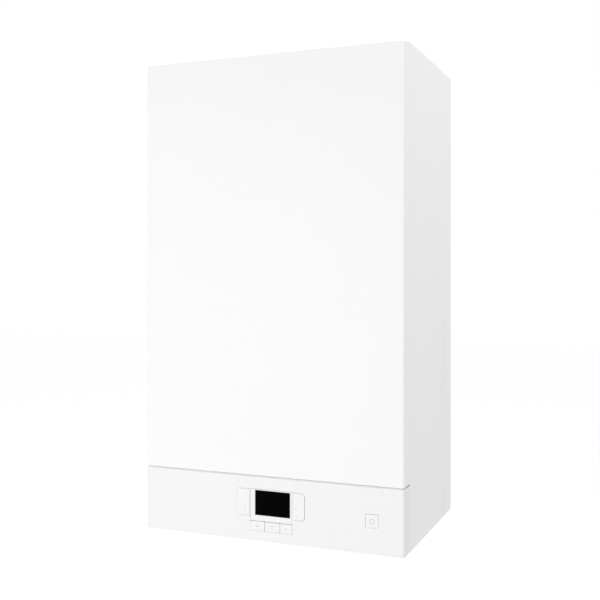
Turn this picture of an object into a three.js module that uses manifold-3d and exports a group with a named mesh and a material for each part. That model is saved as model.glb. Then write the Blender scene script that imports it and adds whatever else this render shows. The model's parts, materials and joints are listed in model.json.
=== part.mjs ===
// Wall-hung condensing combi boiler, with its casing, swing-down control box, burner and fan,
// flue socket, pump, valves, plate exchanger, expansion vessel and pipework.
//
// Millimetres. X runs to the right as seen from the front, Y towards the wall, Z up. Pieces are
// placed from the middle of the case's bottom edge at the wall, and the whole boiler is then
// hung so that the origin lies on the wall, level with the hooks that carry it.

import * as THREE from 'three';
import { mergeVertices } from 'three/addons/utils/BufferGeometryUtils.js';
import Module from 'manifold-3d';

const wasm = await Module();
wasm.setup();

// ---- Driving dimensions ----------------------------------------------------------------------

// Case
const caseWidth = 415;
const caseHeight = 725;
const caseDepth = 290;
const panelSheet = 1;            // painted steel of cover, sides and top
const frameSheet = 1.2;          // galvanised steel of the frame and bottom
const panelFlange = 16;          // inward front flange of a side panel
const frameFlange = 14;          // forward flanges of the back frame
const seat = 0.3;                // gap between pieces that rest on each other
const coverTopDrop = 5;          // the cover's top falls this far to its front edge
const coverTopRun = 27;          // over this depth
const returnDepth = 30;          // side returns of cover and fascia
const returnGap = 0.8;           // seam behind the returns
const edgeRadius = 3;            // upright front edges
const seamGap = 1.6;             // between cover and fascia
const coverLip = 15;             // bottom lip of the cover
const tabSpacing = 230;          // two tabs that carry the cover's top
const tabWidth = 30;
const tabReach = 4;
const catchHeight = 160;         // stud and spring clip on each side
const studRadius = 2.5;
const studBall = 3.1;
const studClearance = 0.5;
const grooveFromWall = 57;       // pressed groove in each side panel
const grooveWidth = 3;
const grooveDepth = 1.2;
const grooveTop = 328;
const dashBottom = 341;
const dashTop = 350;
const beadSpacing = 250;         // stiffening beads in the back frame
const beadWidth = 16;
const beadHeight = 3;
const beadEnd = 50;
const hangHeight = 690;          // hanging slots above the case's bottom
const slotSpacing = 240;
const slotWidth = 40;
const slotHeight = 12;

// Fascia and control box
const fasciaHeight = 94.7;
const fasciaWall = 2.5;
const hingeInset = 6;            // axis from the rear and the bottom of the fascia's returns
const hingePinRadius = 2.6;
const hingeLugWidth = 6;
const hingeLugInset = 24.5;      // from the case's side to the middle of each hinge lug
const boxSideGap = 31.5;         // from the case's side to the control box
const boxHeadroom = 6.8;         // between the box's arc and the top of the fascia
const boxWall = 2;
const boxSwingGap = 4;           // from the box's arc to the bottom plate
const bracketSheet = 1.5;
const displayLeft = -29.4;       // keys and display, as seen from the front
const displayRight = 38.4;
const displayTop = 76.5;
const windowLeft = -21.2;
const windowRight = 35.2;
const windowBottom = 37.9;
const windowTop = 75.1;
const rockerLeft = -51.6;
const rockerRight = 57.9;
const rockerBottom = 36.2;
const rockerTop = 75.7;
const rockerCorner = 5;
const buttonTop = 28.8;
const buttonBottom = 15;
const buttonSplitLeft = -5.4;
const buttonSplitRight = 19.1;
const keyGap = 0.5;              // round each key
const keyProud = 0.5;
const keyThickness = 3;
const buttonTravel = 0.5;
const rockerFootReach = 8;       // from the pivot to each foot
const pivotRadius = 1.4;
const powerInset = 47;           // from the case's side to the middle of the square button
const powerZ = 47;
const powerSize = 19;
const powerTravel = 1.5;

// Burner
const exchangerRadius = 92;
const exchangerDepth = 161;
const exchangerHeight = 555;     // axis above the case's bottom
const exchangerRibs = 3;
const doorRadius = 82;
const doorThickness = 16;
const doorStuds = 6;
const flueFromWall = 115;
const exhaustRadius = 30.5;      // bore that takes a 60 mm exhaust pipe
const airRadius = 50.6;          // bore that takes a 100 mm air pipe
const flueWall = 2.2;
const socketDepth = 15;          // the duct's seat in the exchanger's neck
const flueRise = 28;             // above the case
const fanX = -30;
const fanHeight = 385;
const fanRadius = 54;            // where the scroll starts
const fanGrowth = 12;            // scroll's growth in one turn
const fanWidth = 48;
const fanWall = 4;
const fanBlades = 9;
const fanRunningGap = 3;
const manifoldWidth = 38;
const motorRadius = 37;
const motorLength = 38;
const gasValveX = 112;
const gasValveSize = 66;
const gasValveHeight = 385;

// Water and gas side
const tailSpacing = 65;          // five connections in a row below the case
const tailFromWall = 75;
const tailDrop = 38;
const tailWall = 5;
const bigThread = 13.2;          // radius of a 3/4 inch pipe thread
const smallThread = 10.5;        // radius of a 1/2 inch pipe thread
const pipeRadius = 9;
const hoseRadius = 8;
const bendRadius = 20;
const pipeFromWall = 30;
const crossoverHeight = 225;
const blockTop = 172;
const plateLength = 182;
const plateHeight = 74;
const plateBottom = 100;
const plateCount = 5;
const platePitch = 9.36;
const divertTravel = 5;
const stemRadius = 2.5;
const pumpX = 137;
const pumpHeight = 125;
const pumpRadius = 38;
const pumpWidth = 42;
const pumpVanes = 6;
const pumpShaftRadius = 3.5;
const pumpMotorLength = 50;
const trapX = 30;
const trapFromWall = 135;
const trapRadius = 24;
const trapHeight = 148;
const trapDrop = 25;
const drainRadius = 11;          // takes a 21.5 mm waste pipe's coupling
const holeClearance = 1;         // round pipes through the bottom plate
const vesselWidth = 92;
const vesselDepth = 228;
const vesselHeight = 425;
const vesselBottom = 250;
const vesselSheet = 1.5;
const vesselCorner = 60;
const vesselGap = 4.5;           // from the vessel to the side panel
const nippleInset = 73;          // from the vessel's outer face to its water connection
const nippleForward = 50;        // from the tails to that connection
const nippleLength = 14;

// ---- Derived places --------------------------------------------------------------------------

const halfWidth = caseWidth / 2;
const front = -caseDepth;
const returnRear = front + returnDepth;
const panelFront = returnRear + returnGap;
const innerHalf = halfWidth - panelSheet - seat;
const coverBottom = fasciaHeight + seamGap;
const frameBottom = frameSheet + seat;
const frameTop = caseHeight - panelSheet - seat;
const frameFront = -frameSheet - beadHeight - seat;
const hingeY = returnRear - hingeInset;
const hingeZ = hingeInset;
const hingeLugX = halfWidth - hingeLugInset;
const powerX = halfWidth - powerInset;
const boxHalfWidth = halfWidth - boxSideGap;
const boxRadius = fasciaHeight - hingeZ - boxHeadroom;
const bottomFront = hingeY + boxRadius + boxSwingGap;
const tailY = -tailFromWall;
const pipeY = -pipeFromWall;
const exchangerFront = frameFront - exchangerDepth;
const doorFront = exchangerFront - seat - doorThickness;
const manifoldRear = doorFront - seat;
const manifoldFront = manifoldRear - manifoldWidth;
const fanOutletHalf = 18;

// ---- Finishes --------------------------------------------------------------------------------

function finish(color, roughness, metalness = 0) {
  return new THREE.MeshStandardMaterial({ color, roughness, metalness });
}

const whitePaint = finish(0xf4f5f5, 0.35);
const whitePlastic = finish(0xf1f1f3, 0.45);
const darkPlastic = finish(0x2a2c2e, 0.5);
const greyPlastic = finish(0x8e9294, 0.55);
const blackGlass = finish(0x050506, 0.08);
const greenBoard = finish(0x1f5a34, 0.5);
const galvanised = finish(0xb4b8ba, 0.45, 0.8);
const stainless = finish(0xc4c6c8, 0.3, 0.9);
const castAluminium = finish(0xa9abad, 0.5, 0.8);
const brass = finish(0xb99a5b, 0.35, 0.9);
const copper = finish(0xb87350, 0.3, 0.9);
const ceramic = finish(0xe6e1d4, 0.4);
const redPlastic = finish(0xa3231d, 0.45);
const greyPaint = finish(0x9b9ea0, 0.5);
const blackRubber = finish(0x1c1c1d, 0.8);

// ---- Making solids ---------------------------------------------------------------------------

// Turns a closed geometry into a solid: equal vertices are merged, slivers of no area are left
// out, and the faces are turned to point outwards.
function solid(geometry) {
  const bare = geometry.clone();
  for (const name of Object.keys(bare.attributes)) {
    if (name !== 'position') bare.deleteAttribute(name);
  }
  const merged = mergeVertices(bare, 1e-4);
  const points = merged.attributes.position;
  const a = new THREE.Vector3();
  const b = new THREE.Vector3();
  const c = new THREE.Vector3();
  const faces = [];
  let volume = 0;
  for (let i = 0; i < merged.index.count; i += 3) {
    const face = [merged.index.getX(i), merged.index.getX(i + 1), merged.index.getX(i + 2)];
    if (new Set(face).size < 3) continue;
    a.fromBufferAttribute(points, face[0]);
    b.fromBufferAttribute(points, face[1]);
    c.fromBufferAttribute(points, face[2]);
    volume += a.dot(b.cross(c));
    faces.push(face);
  }
  if (volume < 0) faces.forEach((face) => face.reverse());
  return new wasm.Manifold(new wasm.Mesh({
    numProp: 3,
    vertProperties: Float32Array.from(points.array),
    triVerts: Uint32Array.from(faces.flat()),
  }));
}

function box([x0, x1], [y0, y1], [z0, z1]) {
  const geometry = new THREE.BoxGeometry(Math.abs(x1 - x0), Math.abs(y1 - y0), Math.abs(z1 - z0));
  geometry.translate((x0 + x1) / 2, (y0 + y1) / 2, (z0 + z1) / 2);
  return solid(geometry);
}

// A round bar between two points.
function bar(from, to, radius, sides = 16, endRadius = radius) {
  const start = new THREE.Vector3(...from);
  const run = new THREE.Vector3(...to).sub(start);
  const geometry = new THREE.CylinderGeometry(endRadius, radius, run.length(), sides);
  geometry.translate(0, run.length() / 2, 0);
  const up = new THREE.Vector3(0, 1, 0);
  geometry.applyQuaternion(new THREE.Quaternion().setFromUnitVectors(up, run.normalize()));
  geometry.translate(start.x, start.y, start.z);
  return solid(geometry);
}

// Cutter for a round hole, with its flats at the radius so that a round pin of that size fits.
function bore(from, to, radius, sides = 12) {
  return bar(from, to, radius / Math.cos(Math.PI / sides), sides);
}

// Turns a shape drawn in (x, y) and pushed out along Z into one drawn in (y, z) along X.
const ontoX = new THREE.Matrix4().makeBasis(
  new THREE.Vector3(0, 1, 0),
  new THREE.Vector3(0, 0, 1),
  new THREE.Vector3(1, 0, 0),
);

// An outline pushed out along an axis: drawn in (x, y) for 'z', in (y, z) for 'x', in (x, z)
// for 'y'. Each arc of the outline gets the number of steps given.
function prism(shape, axis, start, end, arcSteps = 4) {
  const settings = { depth: end - start, bevelEnabled: false, curveSegments: arcSteps / 2 };
  const geometry = new THREE.ExtrudeGeometry(shape, settings);
  if (axis === 'z') geometry.translate(0, 0, start);
  if (axis === 'x') geometry.applyMatrix4(ontoX).translate(start, 0, 0);
  if (axis === 'y') geometry.rotateX(Math.PI / 2).translate(0, end, 0);
  return solid(geometry);
}

// A profile of [radius, place] pairs turned about an axis through a point.
function revolve(profile, axis, [x, y, z], sides = 24) {
  const points = profile.map(([radius, place]) => new THREE.Vector2(radius, place));
  const geometry = new THREE.LatheGeometry(points, sides);
  if (axis === 'z') geometry.rotateX(Math.PI / 2);
  if (axis === 'x') geometry.rotateZ(-Math.PI / 2);
  geometry.translate(x, y, z);
  return solid(geometry);
}

function polygon(points) {
  return new THREE.Shape(points.map(([u, v]) => new THREE.Vector2(u, v)));
}

function roundedRectangle([u0, u1], [v0, v1], radius) {
  const shape = new THREE.Shape();
  shape.absarc(u1 - radius, v0 + radius, radius, -Math.PI / 2, 0);
  shape.absarc(u1 - radius, v1 - radius, radius, 0, Math.PI / 2);
  shape.absarc(u0 + radius, v1 - radius, radius, Math.PI / 2, Math.PI);
  shape.absarc(u0 + radius, v0 + radius, radius, Math.PI, Math.PI * 1.5);
  return shape;
}

function join(...solids) {
  return solids.reduce((whole, next) => whole.add(next));
}

function cut(whole, ...tools) {
  return tools.reduce((rest, tool) => rest.subtract(tool), whole);
}

function between(side, near, far) {
  return [side * near, side * far];
}

// A run of straight lengths joined by round bends. The stations along it are the ends of the
// straights and a few steps round each bend, so a tube has sections only where it turns. A
// corner that lies in line with its neighbours is passed over.
class PipeRoute extends THREE.Curve {
  constructor(corners, radius, bendSteps = 4) {
    super();
    const points = corners.map((corner) => new THREE.Vector3(...corner));
    this.stations = [points[0]];
    for (let i = 1; i < points.length - 1; i += 1) {
      const back = points[i - 1].clone().sub(points[i]).normalize();
      const ahead = points[i + 1].clone().sub(points[i]).normalize();
      const half = back.angleTo(ahead) / 2;
      if (Math.PI / 2 - half < 1e-4) continue;
      const trim = radius / Math.tan(half);
      const centre = back.clone().add(ahead).normalize().multiplyScalar(radius / Math.sin(half));
      const first = back.clone().multiplyScalar(trim).sub(centre);
      const last = ahead.clone().multiplyScalar(trim).sub(centre);
      const sweep = first.angleTo(last);
      for (let step = 0; step <= bendSteps; step += 1) {
        const share = step / bendSteps;
        const arm = first.clone().multiplyScalar(Math.sin((1 - share) * sweep) / Math.sin(sweep));
        arm.addScaledVector(last, Math.sin(share * sweep) / Math.sin(sweep));
        this.stations.push(arm.add(centre).add(points[i]));
      }
    }
    this.stations.push(points[points.length - 1]);
  }

  get steps() {
    return this.stations.length - 1;
  }

  getPoint(t, target = new THREE.Vector3()) {
    const place = t * this.steps;
    const index = Math.min(Math.floor(place), this.steps - 1);
    return target.copy(this.stations[index]).lerp(this.stations[index + 1], place - index);
  }

  getPointAt(u, target) {
    return this.getPoint(u, target);
  }

  getTangentAt(u, target) {
    return this.getTangent(u, target);
  }
}

function tube(corners, radius, { sides = 8, bend = bendRadius } = {}) {
  const route = new PipeRoute(corners, bend);
  const section = new THREE.Shape().absarc(0, 0, radius, 0, Math.PI * 2);
  const settings = { steps: route.steps, extrudePath: route, curveSegments: sides / 2 };
  return solid(new THREE.ExtrudeGeometry(section, settings));
}

// Makes the named mesh of a solid, with its own origin at the pivot given.
function piece(name, shape, material, pivot = [0, 0, 0]) {
  const mesh = shape.getMesh();
  const geometry = new THREE.BufferGeometry();
  geometry.setAttribute('position', new THREE.BufferAttribute(mesh.vertProperties, 3));
  geometry.setIndex(new THREE.BufferAttribute(mesh.triVerts, 1));
  geometry.translate(-pivot[0], -pivot[1], -pivot[2]);
  geometry.computeVertexNormals();
  const object = new THREE.Mesh(geometry, material);
  object.name = name;
  object.position.set(...pivot);
  return object;
}

// ---- Casing ----------------------------------------------------------------------------------

function backFrame() {
  const rear = [-frameSheet, 0];
  const forward = [-frameSheet - frameFlange, 0];
  let frame = box([-innerHalf, innerHalf], rear, [frameBottom, frameTop]);
  for (const side of [-1, 1]) {
    const edge = between(side, innerHalf - frameSheet, innerHalf);
    frame = frame.add(box(edge, forward, [frameBottom, frameTop]));
  }
  const flangeRoom = innerHalf - frameSheet;
  frame = join(
    frame,
    box([-flangeRoom, flangeRoom], forward, [frameTop - frameSheet, frameTop]),
    box([-flangeRoom, flangeRoom], forward, [frameBottom, frameBottom + frameSheet]),
  );
  for (const side of [-1, 1]) {
    const x = (side * beadSpacing) / 2;
    const outer = beadWidth / 2;
    const crest = outer - beadHeight;
    const bead = (inset, base) => prism(polygon([
      [x - outer + inset, base],
      [x - crest + inset, -frameSheet - beadHeight + inset],
      [x + crest - inset, -frameSheet - beadHeight + inset],
      [x + outer - inset, base],
    ]), 'z', frameBottom + beadEnd + inset, hangHeight - beadEnd - inset);
    frame = cut(frame.add(bead(0, -frameSheet / 2)), bead(frameSheet, 1));
    const slotX = (side * slotSpacing) / 2;
    const slot = box(
      [slotX - slotWidth / 2, slotX + slotWidth / 2],
      [-frameSheet - 1, 1],
      [hangHeight - slotHeight / 2, hangHeight + slotHeight / 2],
    );
    frame = frame.subtract(slot);
  }
  return frame;
}

function sidePanel(side) {
  const outer = halfWidth;
  const inner = halfWidth - panelSheet;
  let panel = join(
    box(between(side, inner, outer), [panelFront, 0], [0, caseHeight]),
    box(between(side, outer - panelFlange, outer), [panelFront, panelFront + panelSheet], [0, frameTop]),
  );
  const ribHalf = grooveWidth / 2 + panelSheet;
  const mouthHalf = grooveWidth / 2;
  const y = -grooveFromWall;
  const rib = polygon([
    [side * (inner + panelSheet / 2), y - ribHalf],
    [side * (inner - grooveDepth), y - mouthHalf],
    [side * (inner - grooveDepth), y + mouthHalf],
    [side * (inner + panelSheet / 2), y + ribHalf],
  ]);
  const groove = polygon([
    [side * (outer + 1), y - mouthHalf],
    [side * outer, y - mouthHalf],
    [side * (outer - grooveDepth), y - mouthHalf / 2],
    [side * (outer - grooveDepth), y + mouthHalf / 2],
    [side * outer, y + mouthHalf],
    [side * (outer + 1), y + mouthHalf],
  ]);
  panel = panel.add(prism(rib, 'z', 0, grooveTop + panelSheet));
  panel = panel.add(prism(rib, 'z', dashBottom - panelSheet, dashTop + panelSheet));
  panel = panel.subtract(prism(groove, 'z', -1, grooveTop));
  panel = panel.subtract(prism(groove, 'z', dashBottom, dashTop));
  const studX = side * (outer - panelFlange / 2 - panelSheet / 2);
  const hole = bore([studX, panelFront - 1, catchHeight], [studX, panelFront + panelSheet + 1, catchHeight],
    studBall + studClearance, 8);
  return panel.subtract(hole);
}

function topPlate() {
  const z = [caseHeight - panelSheet, caseHeight];
  const y = [panelFront, 0];
  const flangeZ = [caseHeight - frameFlange, caseHeight];
  let plate = box([-innerHalf, innerHalf], y, z);
  for (const side of [-1, 1]) {
    const edge = between(side, innerHalf - panelSheet, innerHalf);
    const flangeY = [panelFront + panelSheet + seat, -frameSheet - frameFlange - seat];
    plate = plate.add(box(edge, flangeY, flangeZ));
    const tabX = (side * tabSpacing) / 2;
    const tab = box(
      [tabX - tabWidth / 2, tabX + tabWidth / 2],
      [returnRear - tabReach, panelFront + 2 * tabReach],
      [caseHeight - 2 * panelSheet - seat, caseHeight - panelSheet - seat],
    );
    const step = box(
      [tabX - tabWidth / 2, tabX + tabWidth / 2],
      [panelFront + tabReach, panelFront + 2 * tabReach],
      [caseHeight - 2 * panelSheet, caseHeight - panelSheet / 2],
    );
    plate = join(plate, tab, step);
  }
  const hole = bore([0, -flueFromWall, 0], [0, -flueFromWall, caseHeight + 1], airRadius - 3, 20);
  return plate.subtract(hole);
}

function bottomPlate() {
  const edge = halfWidth - panelSheet - grooveDepth - seat;
  const y = [bottomFront, 0];
  let plate = box([-edge, edge], y, [0, frameSheet]);
  const flangeRear = -frameSheet - frameFlange - seat;
  for (const side of [-1, 1]) {
    const flangeX = between(side, edge - frameSheet, edge);
    plate = plate.add(box(flangeX, [bottomFront, flangeRear], [0, frameFlange]));
  }
  plate = plate.add(box([-edge, edge], [bottomFront, bottomFront + frameSheet], [0, frameFlange]));
  for (const { x, radius } of tails()) {
    plate = plate.subtract(bore([x, tailY, -1], [x, tailY, frameSheet + 1], radius + holeClearance, 10));
  }
  const drain = bore([trapX, -trapFromWall, -1], [trapX, -trapFromWall, frameSheet + 1],
    drainRadius + holeClearance, 10);
  return plate.subtract(drain);
}

// Plan of a pan with round front edges, drawn inset from the case's outside.
function panPlan(inset, rear) {
  const half = halfWidth - inset;
  const radius = Math.max(edgeRadius - inset, 0.5);
  const nose = front + inset;
  const shape = new THREE.Shape();
  shape.moveTo(half, rear);
  shape.lineTo(-half, rear);
  shape.absarc(-half + radius, nose + radius, radius, Math.PI, Math.PI * 1.5);
  shape.absarc(half - radius, nose + radius, radius, -Math.PI / 2, 0);
  return shape;
}

function frontCover() {
  const body = (inset, bottom, rear) => {
    const plan = prism(panPlan(inset, rear), 'z', bottom, caseHeight + 1);
    const slope = coverTopDrop / coverTopRun;
    const top = caseHeight - inset;
    const profile = polygon([
      [front - 1, bottom - 1],
      [front - 1, top - coverTopDrop - slope],
      [front + coverTopRun, top],
      [rear + 1, top],
      [rear + 1, bottom - 1],
    ]);
    return plan.intersect(prism(profile, 'x', -halfWidth - 1, halfWidth + 1));
  };
  const hollow = body(panelSheet, coverBottom + panelSheet, returnRear + 1);
  const room = halfWidth - panelSheet;
  const belowLip = box([-room, room], [front + coverLip, returnRear + 1],
    [coverBottom - 1, coverBottom + 2]);
  return cut(body(0, coverBottom, returnRear), hollow, belowLip);
}

// An angle welded to the cover's return, with the ball stud that snaps into the side panel.
function coverStud(side) {
  const wall = halfWidth - panelSheet - seat;
  const x = side * (halfWidth - panelFlange / 2 - panelSheet / 2);
  const face = returnRear - 3;
  const z = [catchHeight - 9, catchHeight + 9];
  const leg = box(between(side, wall - bracketSheet, wall), [face - 14, face], z);
  const shelf = box(between(side, halfWidth - panelFlange, wall), [face - bracketSheet, face], z);
  const profile = [
    [0, face - 0.5],
    [studRadius, face - 0.5],
    [studRadius, face + 6],
    [studBall, face + 8],
    [studBall, face + 9.5],
    [0, face + 12],
  ];
  return join(leg, shelf, revolve(profile, 'y', [x, 0, catchHeight], 8));
}

// Spring clip behind the side panel's flange, with two leaves round the ball stud.
function coverClip(side) {
  const rear = panelFront + panelSheet + seat;
  const x = side * (halfWidth - panelFlange / 2 - panelSheet / 2);
  const half = panelFlange / 2 - panelSheet - seat;
  const base = box([x - half, x + half], [rear, rear + bracketSheet], [catchHeight - 12, catchHeight + 12]);
  const leaf = (away) => box([x - half, x + half], [rear, rear + 9],
    [catchHeight + away * (studBall + studClearance), catchHeight + away * (studBall + studClearance + 1)]);
  const hole = bore([x, rear - 1, catchHeight], [x, rear + 3, catchHeight], studBall + studClearance, 8);
  return cut(join(base, leaf(-1), leaf(1)), hole);
}

function hingeBracket(side) {
  const armInner = halfWidth - panelFlange - 2;
  const arm = between(side, armInner, armInner + bracketSheet);
  const rear = panelFront + panelSheet + seat;
  const legX = between(side, armInner, halfWidth - panelSheet - seat);
  const pinTip = side * (hingeLugX - hingeLugWidth / 2 - 1);
  return join(
    box(legX, [rear, rear + bracketSheet], [hingeZ - 3, hingeZ + 14]),
    box(arm, [hingeY - hingePinRadius - 2, rear + bracketSheet], [hingeZ - 3, hingeZ + 8]),
    bar([pinTip, hingeY, hingeZ], [side * (armInner + bracketSheet), hingeY, hingeZ], hingePinRadius, 12),
  );
}

// ---- Fascia and control box ------------------------------------------------------------------

const fasciaInner = front + fasciaWall;
const carrierFront = fasciaInner + seat;
const carrierFloor = carrierFront + 3.2;
const carrierRear = carrierFloor + 5;
const boardFront = carrierRear + seat;
const keyFront = front - keyProud;
const keyRear = keyFront + keyThickness;
const stemEnd = carrierFloor + 2;
const boxFront = hingeY - 5;
const rockerMiddle = (rockerTop + rockerBottom) / 2;
const rockerPivotY = carrierFloor - 2;
const rockers = [
  { name: 'rocker_left', inner: displayLeft, outer: rockerLeft },
  { name: 'rocker_right', inner: displayRight, outer: rockerRight },
];
const buttons = [
  { name: 'button_left', x: [displayLeft, buttonSplitLeft] },
  { name: 'button_middle', x: [buttonSplitLeft, buttonSplitRight] },
  { name: 'button_right', x: [buttonSplitRight, displayRight] },
];
const carrierX = [rockerLeft - 14, rockerRight + 14];
const carrierZ = [buttonBottom - 7, displayTop + 9];
const switchRadius = 2.2;

function middle([from, to]) {
  return (from + to) / 2;
}

function fascia() {
  const outer = prism(panPlan(0, returnRear), 'z', 0, fasciaHeight);
  const hollow = prism(panPlan(fasciaWall, returnRear + 1), 'z', fasciaWall, fasciaHeight - fasciaWall);
  const room = halfWidth - fasciaWall;
  const bottomLip = hingeY - hingeInset - 1;
  const topLip = front + coverLip - 3;
  let shell = cut(
    outer,
    hollow,
    box([-room, room], [bottomLip, returnRear + 1], [-1, fasciaWall + 1]),
    box([-room, room], [topLip, returnRear + 1], [fasciaHeight - fasciaWall - 1, fasciaHeight + 1]),
  );
  // The returns' lower rear corners are round about the hinge, so they clear the side panels.
  const corner = new THREE.Shape();
  corner.moveTo(hingeY, hingeZ);
  corner.lineTo(hingeY, -1);
  corner.lineTo(returnRear + 1, -1);
  corner.lineTo(returnRear + 1, hingeZ);
  const round = bar([-caseWidth, hingeY, hingeZ], [caseWidth, hingeY, hingeZ], hingeInset, 16);
  shell = shell.subtract(prism(corner, 'x', -caseWidth, caseWidth).subtract(round));

  const lugZ = [fasciaWall - 0.5, hingeZ + 10];
  for (const side of [-1, 1]) {
    const lugX = between(side, hingeLugX - hingeLugWidth / 2, hingeLugX + hingeLugWidth / 2);
    const eye = bar([lugX[0], hingeY, hingeZ], [lugX[1], hingeY, hingeZ], hingePinRadius + 2.5, 12);
    const arm = box(lugX, [fasciaInner - 1, hingeY], [lugZ[0], lugZ[1] - 6]);
    const pinX = between(side, hingeLugX - hingeLugWidth, hingeLugX + hingeLugWidth);
    const eyeBore = bore([pinX[0], hingeY, hingeZ], [pinX[1], hingeY, hingeZ], hingePinRadius + seat);
    shell = join(shell, eye, arm).subtract(eyeBore);
    for (const z of [hingeZ + 12, hingeZ + boxRadius - 9]) {
      const x = side * (boxHalfWidth - 8);
      shell = shell.add(bar([x, fasciaInner - 1, z], [x, boxFront - seat, z], 4, 8));
    }
  }
  const rockerHole = roundedRectangle(
    [rockerLeft - keyGap, rockerRight + keyGap],
    [rockerBottom - keyGap, displayTop + keyGap],
    rockerCorner + keyGap,
  );
  const buttonHole = box(
    [displayLeft - keyGap, displayRight + keyGap],
    [front - 1, fasciaInner + 1],
    [buttonBottom - keyGap, rockerMiddle],
  );
  const powerHalf = powerSize / 2 + keyGap;
  const powerHole = roundedRectangle(
    [powerX - powerHalf, powerX + powerHalf],
    [powerZ - powerHalf, powerZ + powerHalf],
    2.5,
  );
  return cut(
    shell,
    prism(rockerHole, 'y', front - 1, fasciaInner + 1),
    buttonHole,
    prism(powerHole, 'y', front - 1, fasciaInner + 1),
  );
}

// Rear shell of the control box: a quarter round about the hinge, so it can swing down.
function controlBoxCover() {
  const profile = (inset, openFront) => {
    const radius = boxRadius - inset;
    const bottom = hingeZ - 2 + inset;
    const low = Math.asin((bottom - hingeZ) / radius);
    const shape = new THREE.Shape();
    shape.moveTo(openFront, hingeZ + radius);
    shape.lineTo(openFront, bottom);
    shape.absarc(hingeY, hingeZ, radius, low, Math.PI / 2);
    return shape;
  };
  const outer = prism(profile(0, boxFront), 'x', -boxHalfWidth, boxHalfWidth, 8);
  const room = boxHalfWidth - boxWall;
  const inner = prism(profile(boxWall, boxFront - 1), 'x', -room, room, 8);
  let shell = outer.subtract(inner);
  for (const side of [-1, 1]) {
    for (const z of [hingeZ + 12, hingeZ + boxRadius - 9]) {
      const earX = between(side, boxHalfWidth - 14, room + 0.5);
      shell = shell.add(box(earX, [boxFront, boxFront + 3], [z - 6, z + 6]));
    }
  }
  const louvres = 7;
  for (let i = 0; i < louvres; i += 1) {
    const x = (i - (louvres - 1) / 2) * 22;
    const gap = box([x - 7, x + 7], [hingeY + 30, hingeY + 34], [hingeZ, hingeZ + boxRadius + 1]);
    shell = shell.subtract(gap);
  }
  return shell;
}

function keyCarrier() {
  const pocket = box(
    [rockerLeft - 2, rockerRight + 2],
    [carrierFront - 1, carrierFloor],
    [buttonBottom - 2, displayTop + 2],
  );
  let carrier = box(carrierX, [carrierFront, carrierRear], carrierZ).subtract(pocket);
  for (const { inner, outer } of rockers) {
    const x = (inner + outer) / 2;
    const half = Math.abs(outer - inner) / 2 - 2;
    const saddle = box([x - half, x + half], [rockerPivotY + 0.6, carrierFloor + 1],
      [rockerMiddle - 3, rockerMiddle + 3]);
    const groove = bore([x - half - 1, rockerPivotY, rockerMiddle],
      [x + half + 1, rockerPivotY, rockerMiddle], pivotRadius + seat, 8);
    carrier = carrier.add(saddle).subtract(groove);
    for (const away of [-1, 1]) {
      const z = rockerMiddle + away * rockerFootReach;
      const hole = bore([x, carrierFloor - 1, z], [x, carrierRear + 1, z], switchRadius + keyGap, 8);
      carrier = carrier.subtract(hole);
    }
  }
  for (const { x } of buttons) {
    const z = (buttonTop + buttonBottom) / 2;
    const hole = bore([middle(x), carrierFloor - 1, z], [middle(x), carrierRear + 1, z],
      switchRadius + seat, 8);
    carrier = carrier.subtract(hole);
  }
  const view = box([windowLeft, windowRight], [carrierFloor - 1, carrierRear + 1],
    [windowBottom, windowTop]);
  return carrier.subtract(view);
}

function displayBezel() {
  const x = [displayLeft + keyGap / 2, displayRight - keyGap / 2];
  const z = [buttonTop + keyGap, displayTop];
  const plate = prism(roundedRectangle(x, z, 0.8), 'y', front, carrierFloor - seat, 2);
  const view = box([windowLeft + 1, windowRight - 1], [front - 1, carrierFloor],
    [windowBottom + 1, windowTop - 0.6]);
  const rebate = box([windowLeft, windowRight], [front - 1, front + 2], [windowBottom, windowTop]);
  return cut(plate, view, rebate);
}

function displayWindow() {
  return box(
    [windowLeft + seat, windowRight - seat],
    [front + 0.2, front + 2 - seat],
    [windowBottom + seat, windowTop - seat],
  );
}

function displayModule() {
  return box(
    [windowLeft + 1 + seat, windowRight - 1 - seat],
    [front + 2, boardFront - seat],
    [windowBottom + 1 + seat, windowTop - 0.6 - seat],
  );
}

function displayBoard() {
  let board = box([carrierX[0] + 2, carrierX[1] - 2], [boardFront, boardFront + 1.6],
    [carrierZ[0] + 2, carrierZ[1] - 2]);
  const tactSwitch = (x, z) => bar([x, boardFront + 0.5, z], [x, stemEnd + buttonTravel + 0.1, z],
    switchRadius - 0.4, 8);
  for (const { inner, outer } of rockers) {
    for (const away of [-1, 1]) {
      board = board.add(tactSwitch((inner + outer) / 2, rockerMiddle + away * rockerFootReach));
    }
  }
  for (const { x } of buttons) {
    board = board.add(tactSwitch(middle(x), (buttonTop + buttonBottom) / 2));
  }
  const plug = box([displayRight + 6, displayRight + 26], [boardFront + 1, boardFront + 10],
    [carrierZ[0] + 6, carrierZ[0] + 14]);
  return board.add(plug);
}

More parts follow.
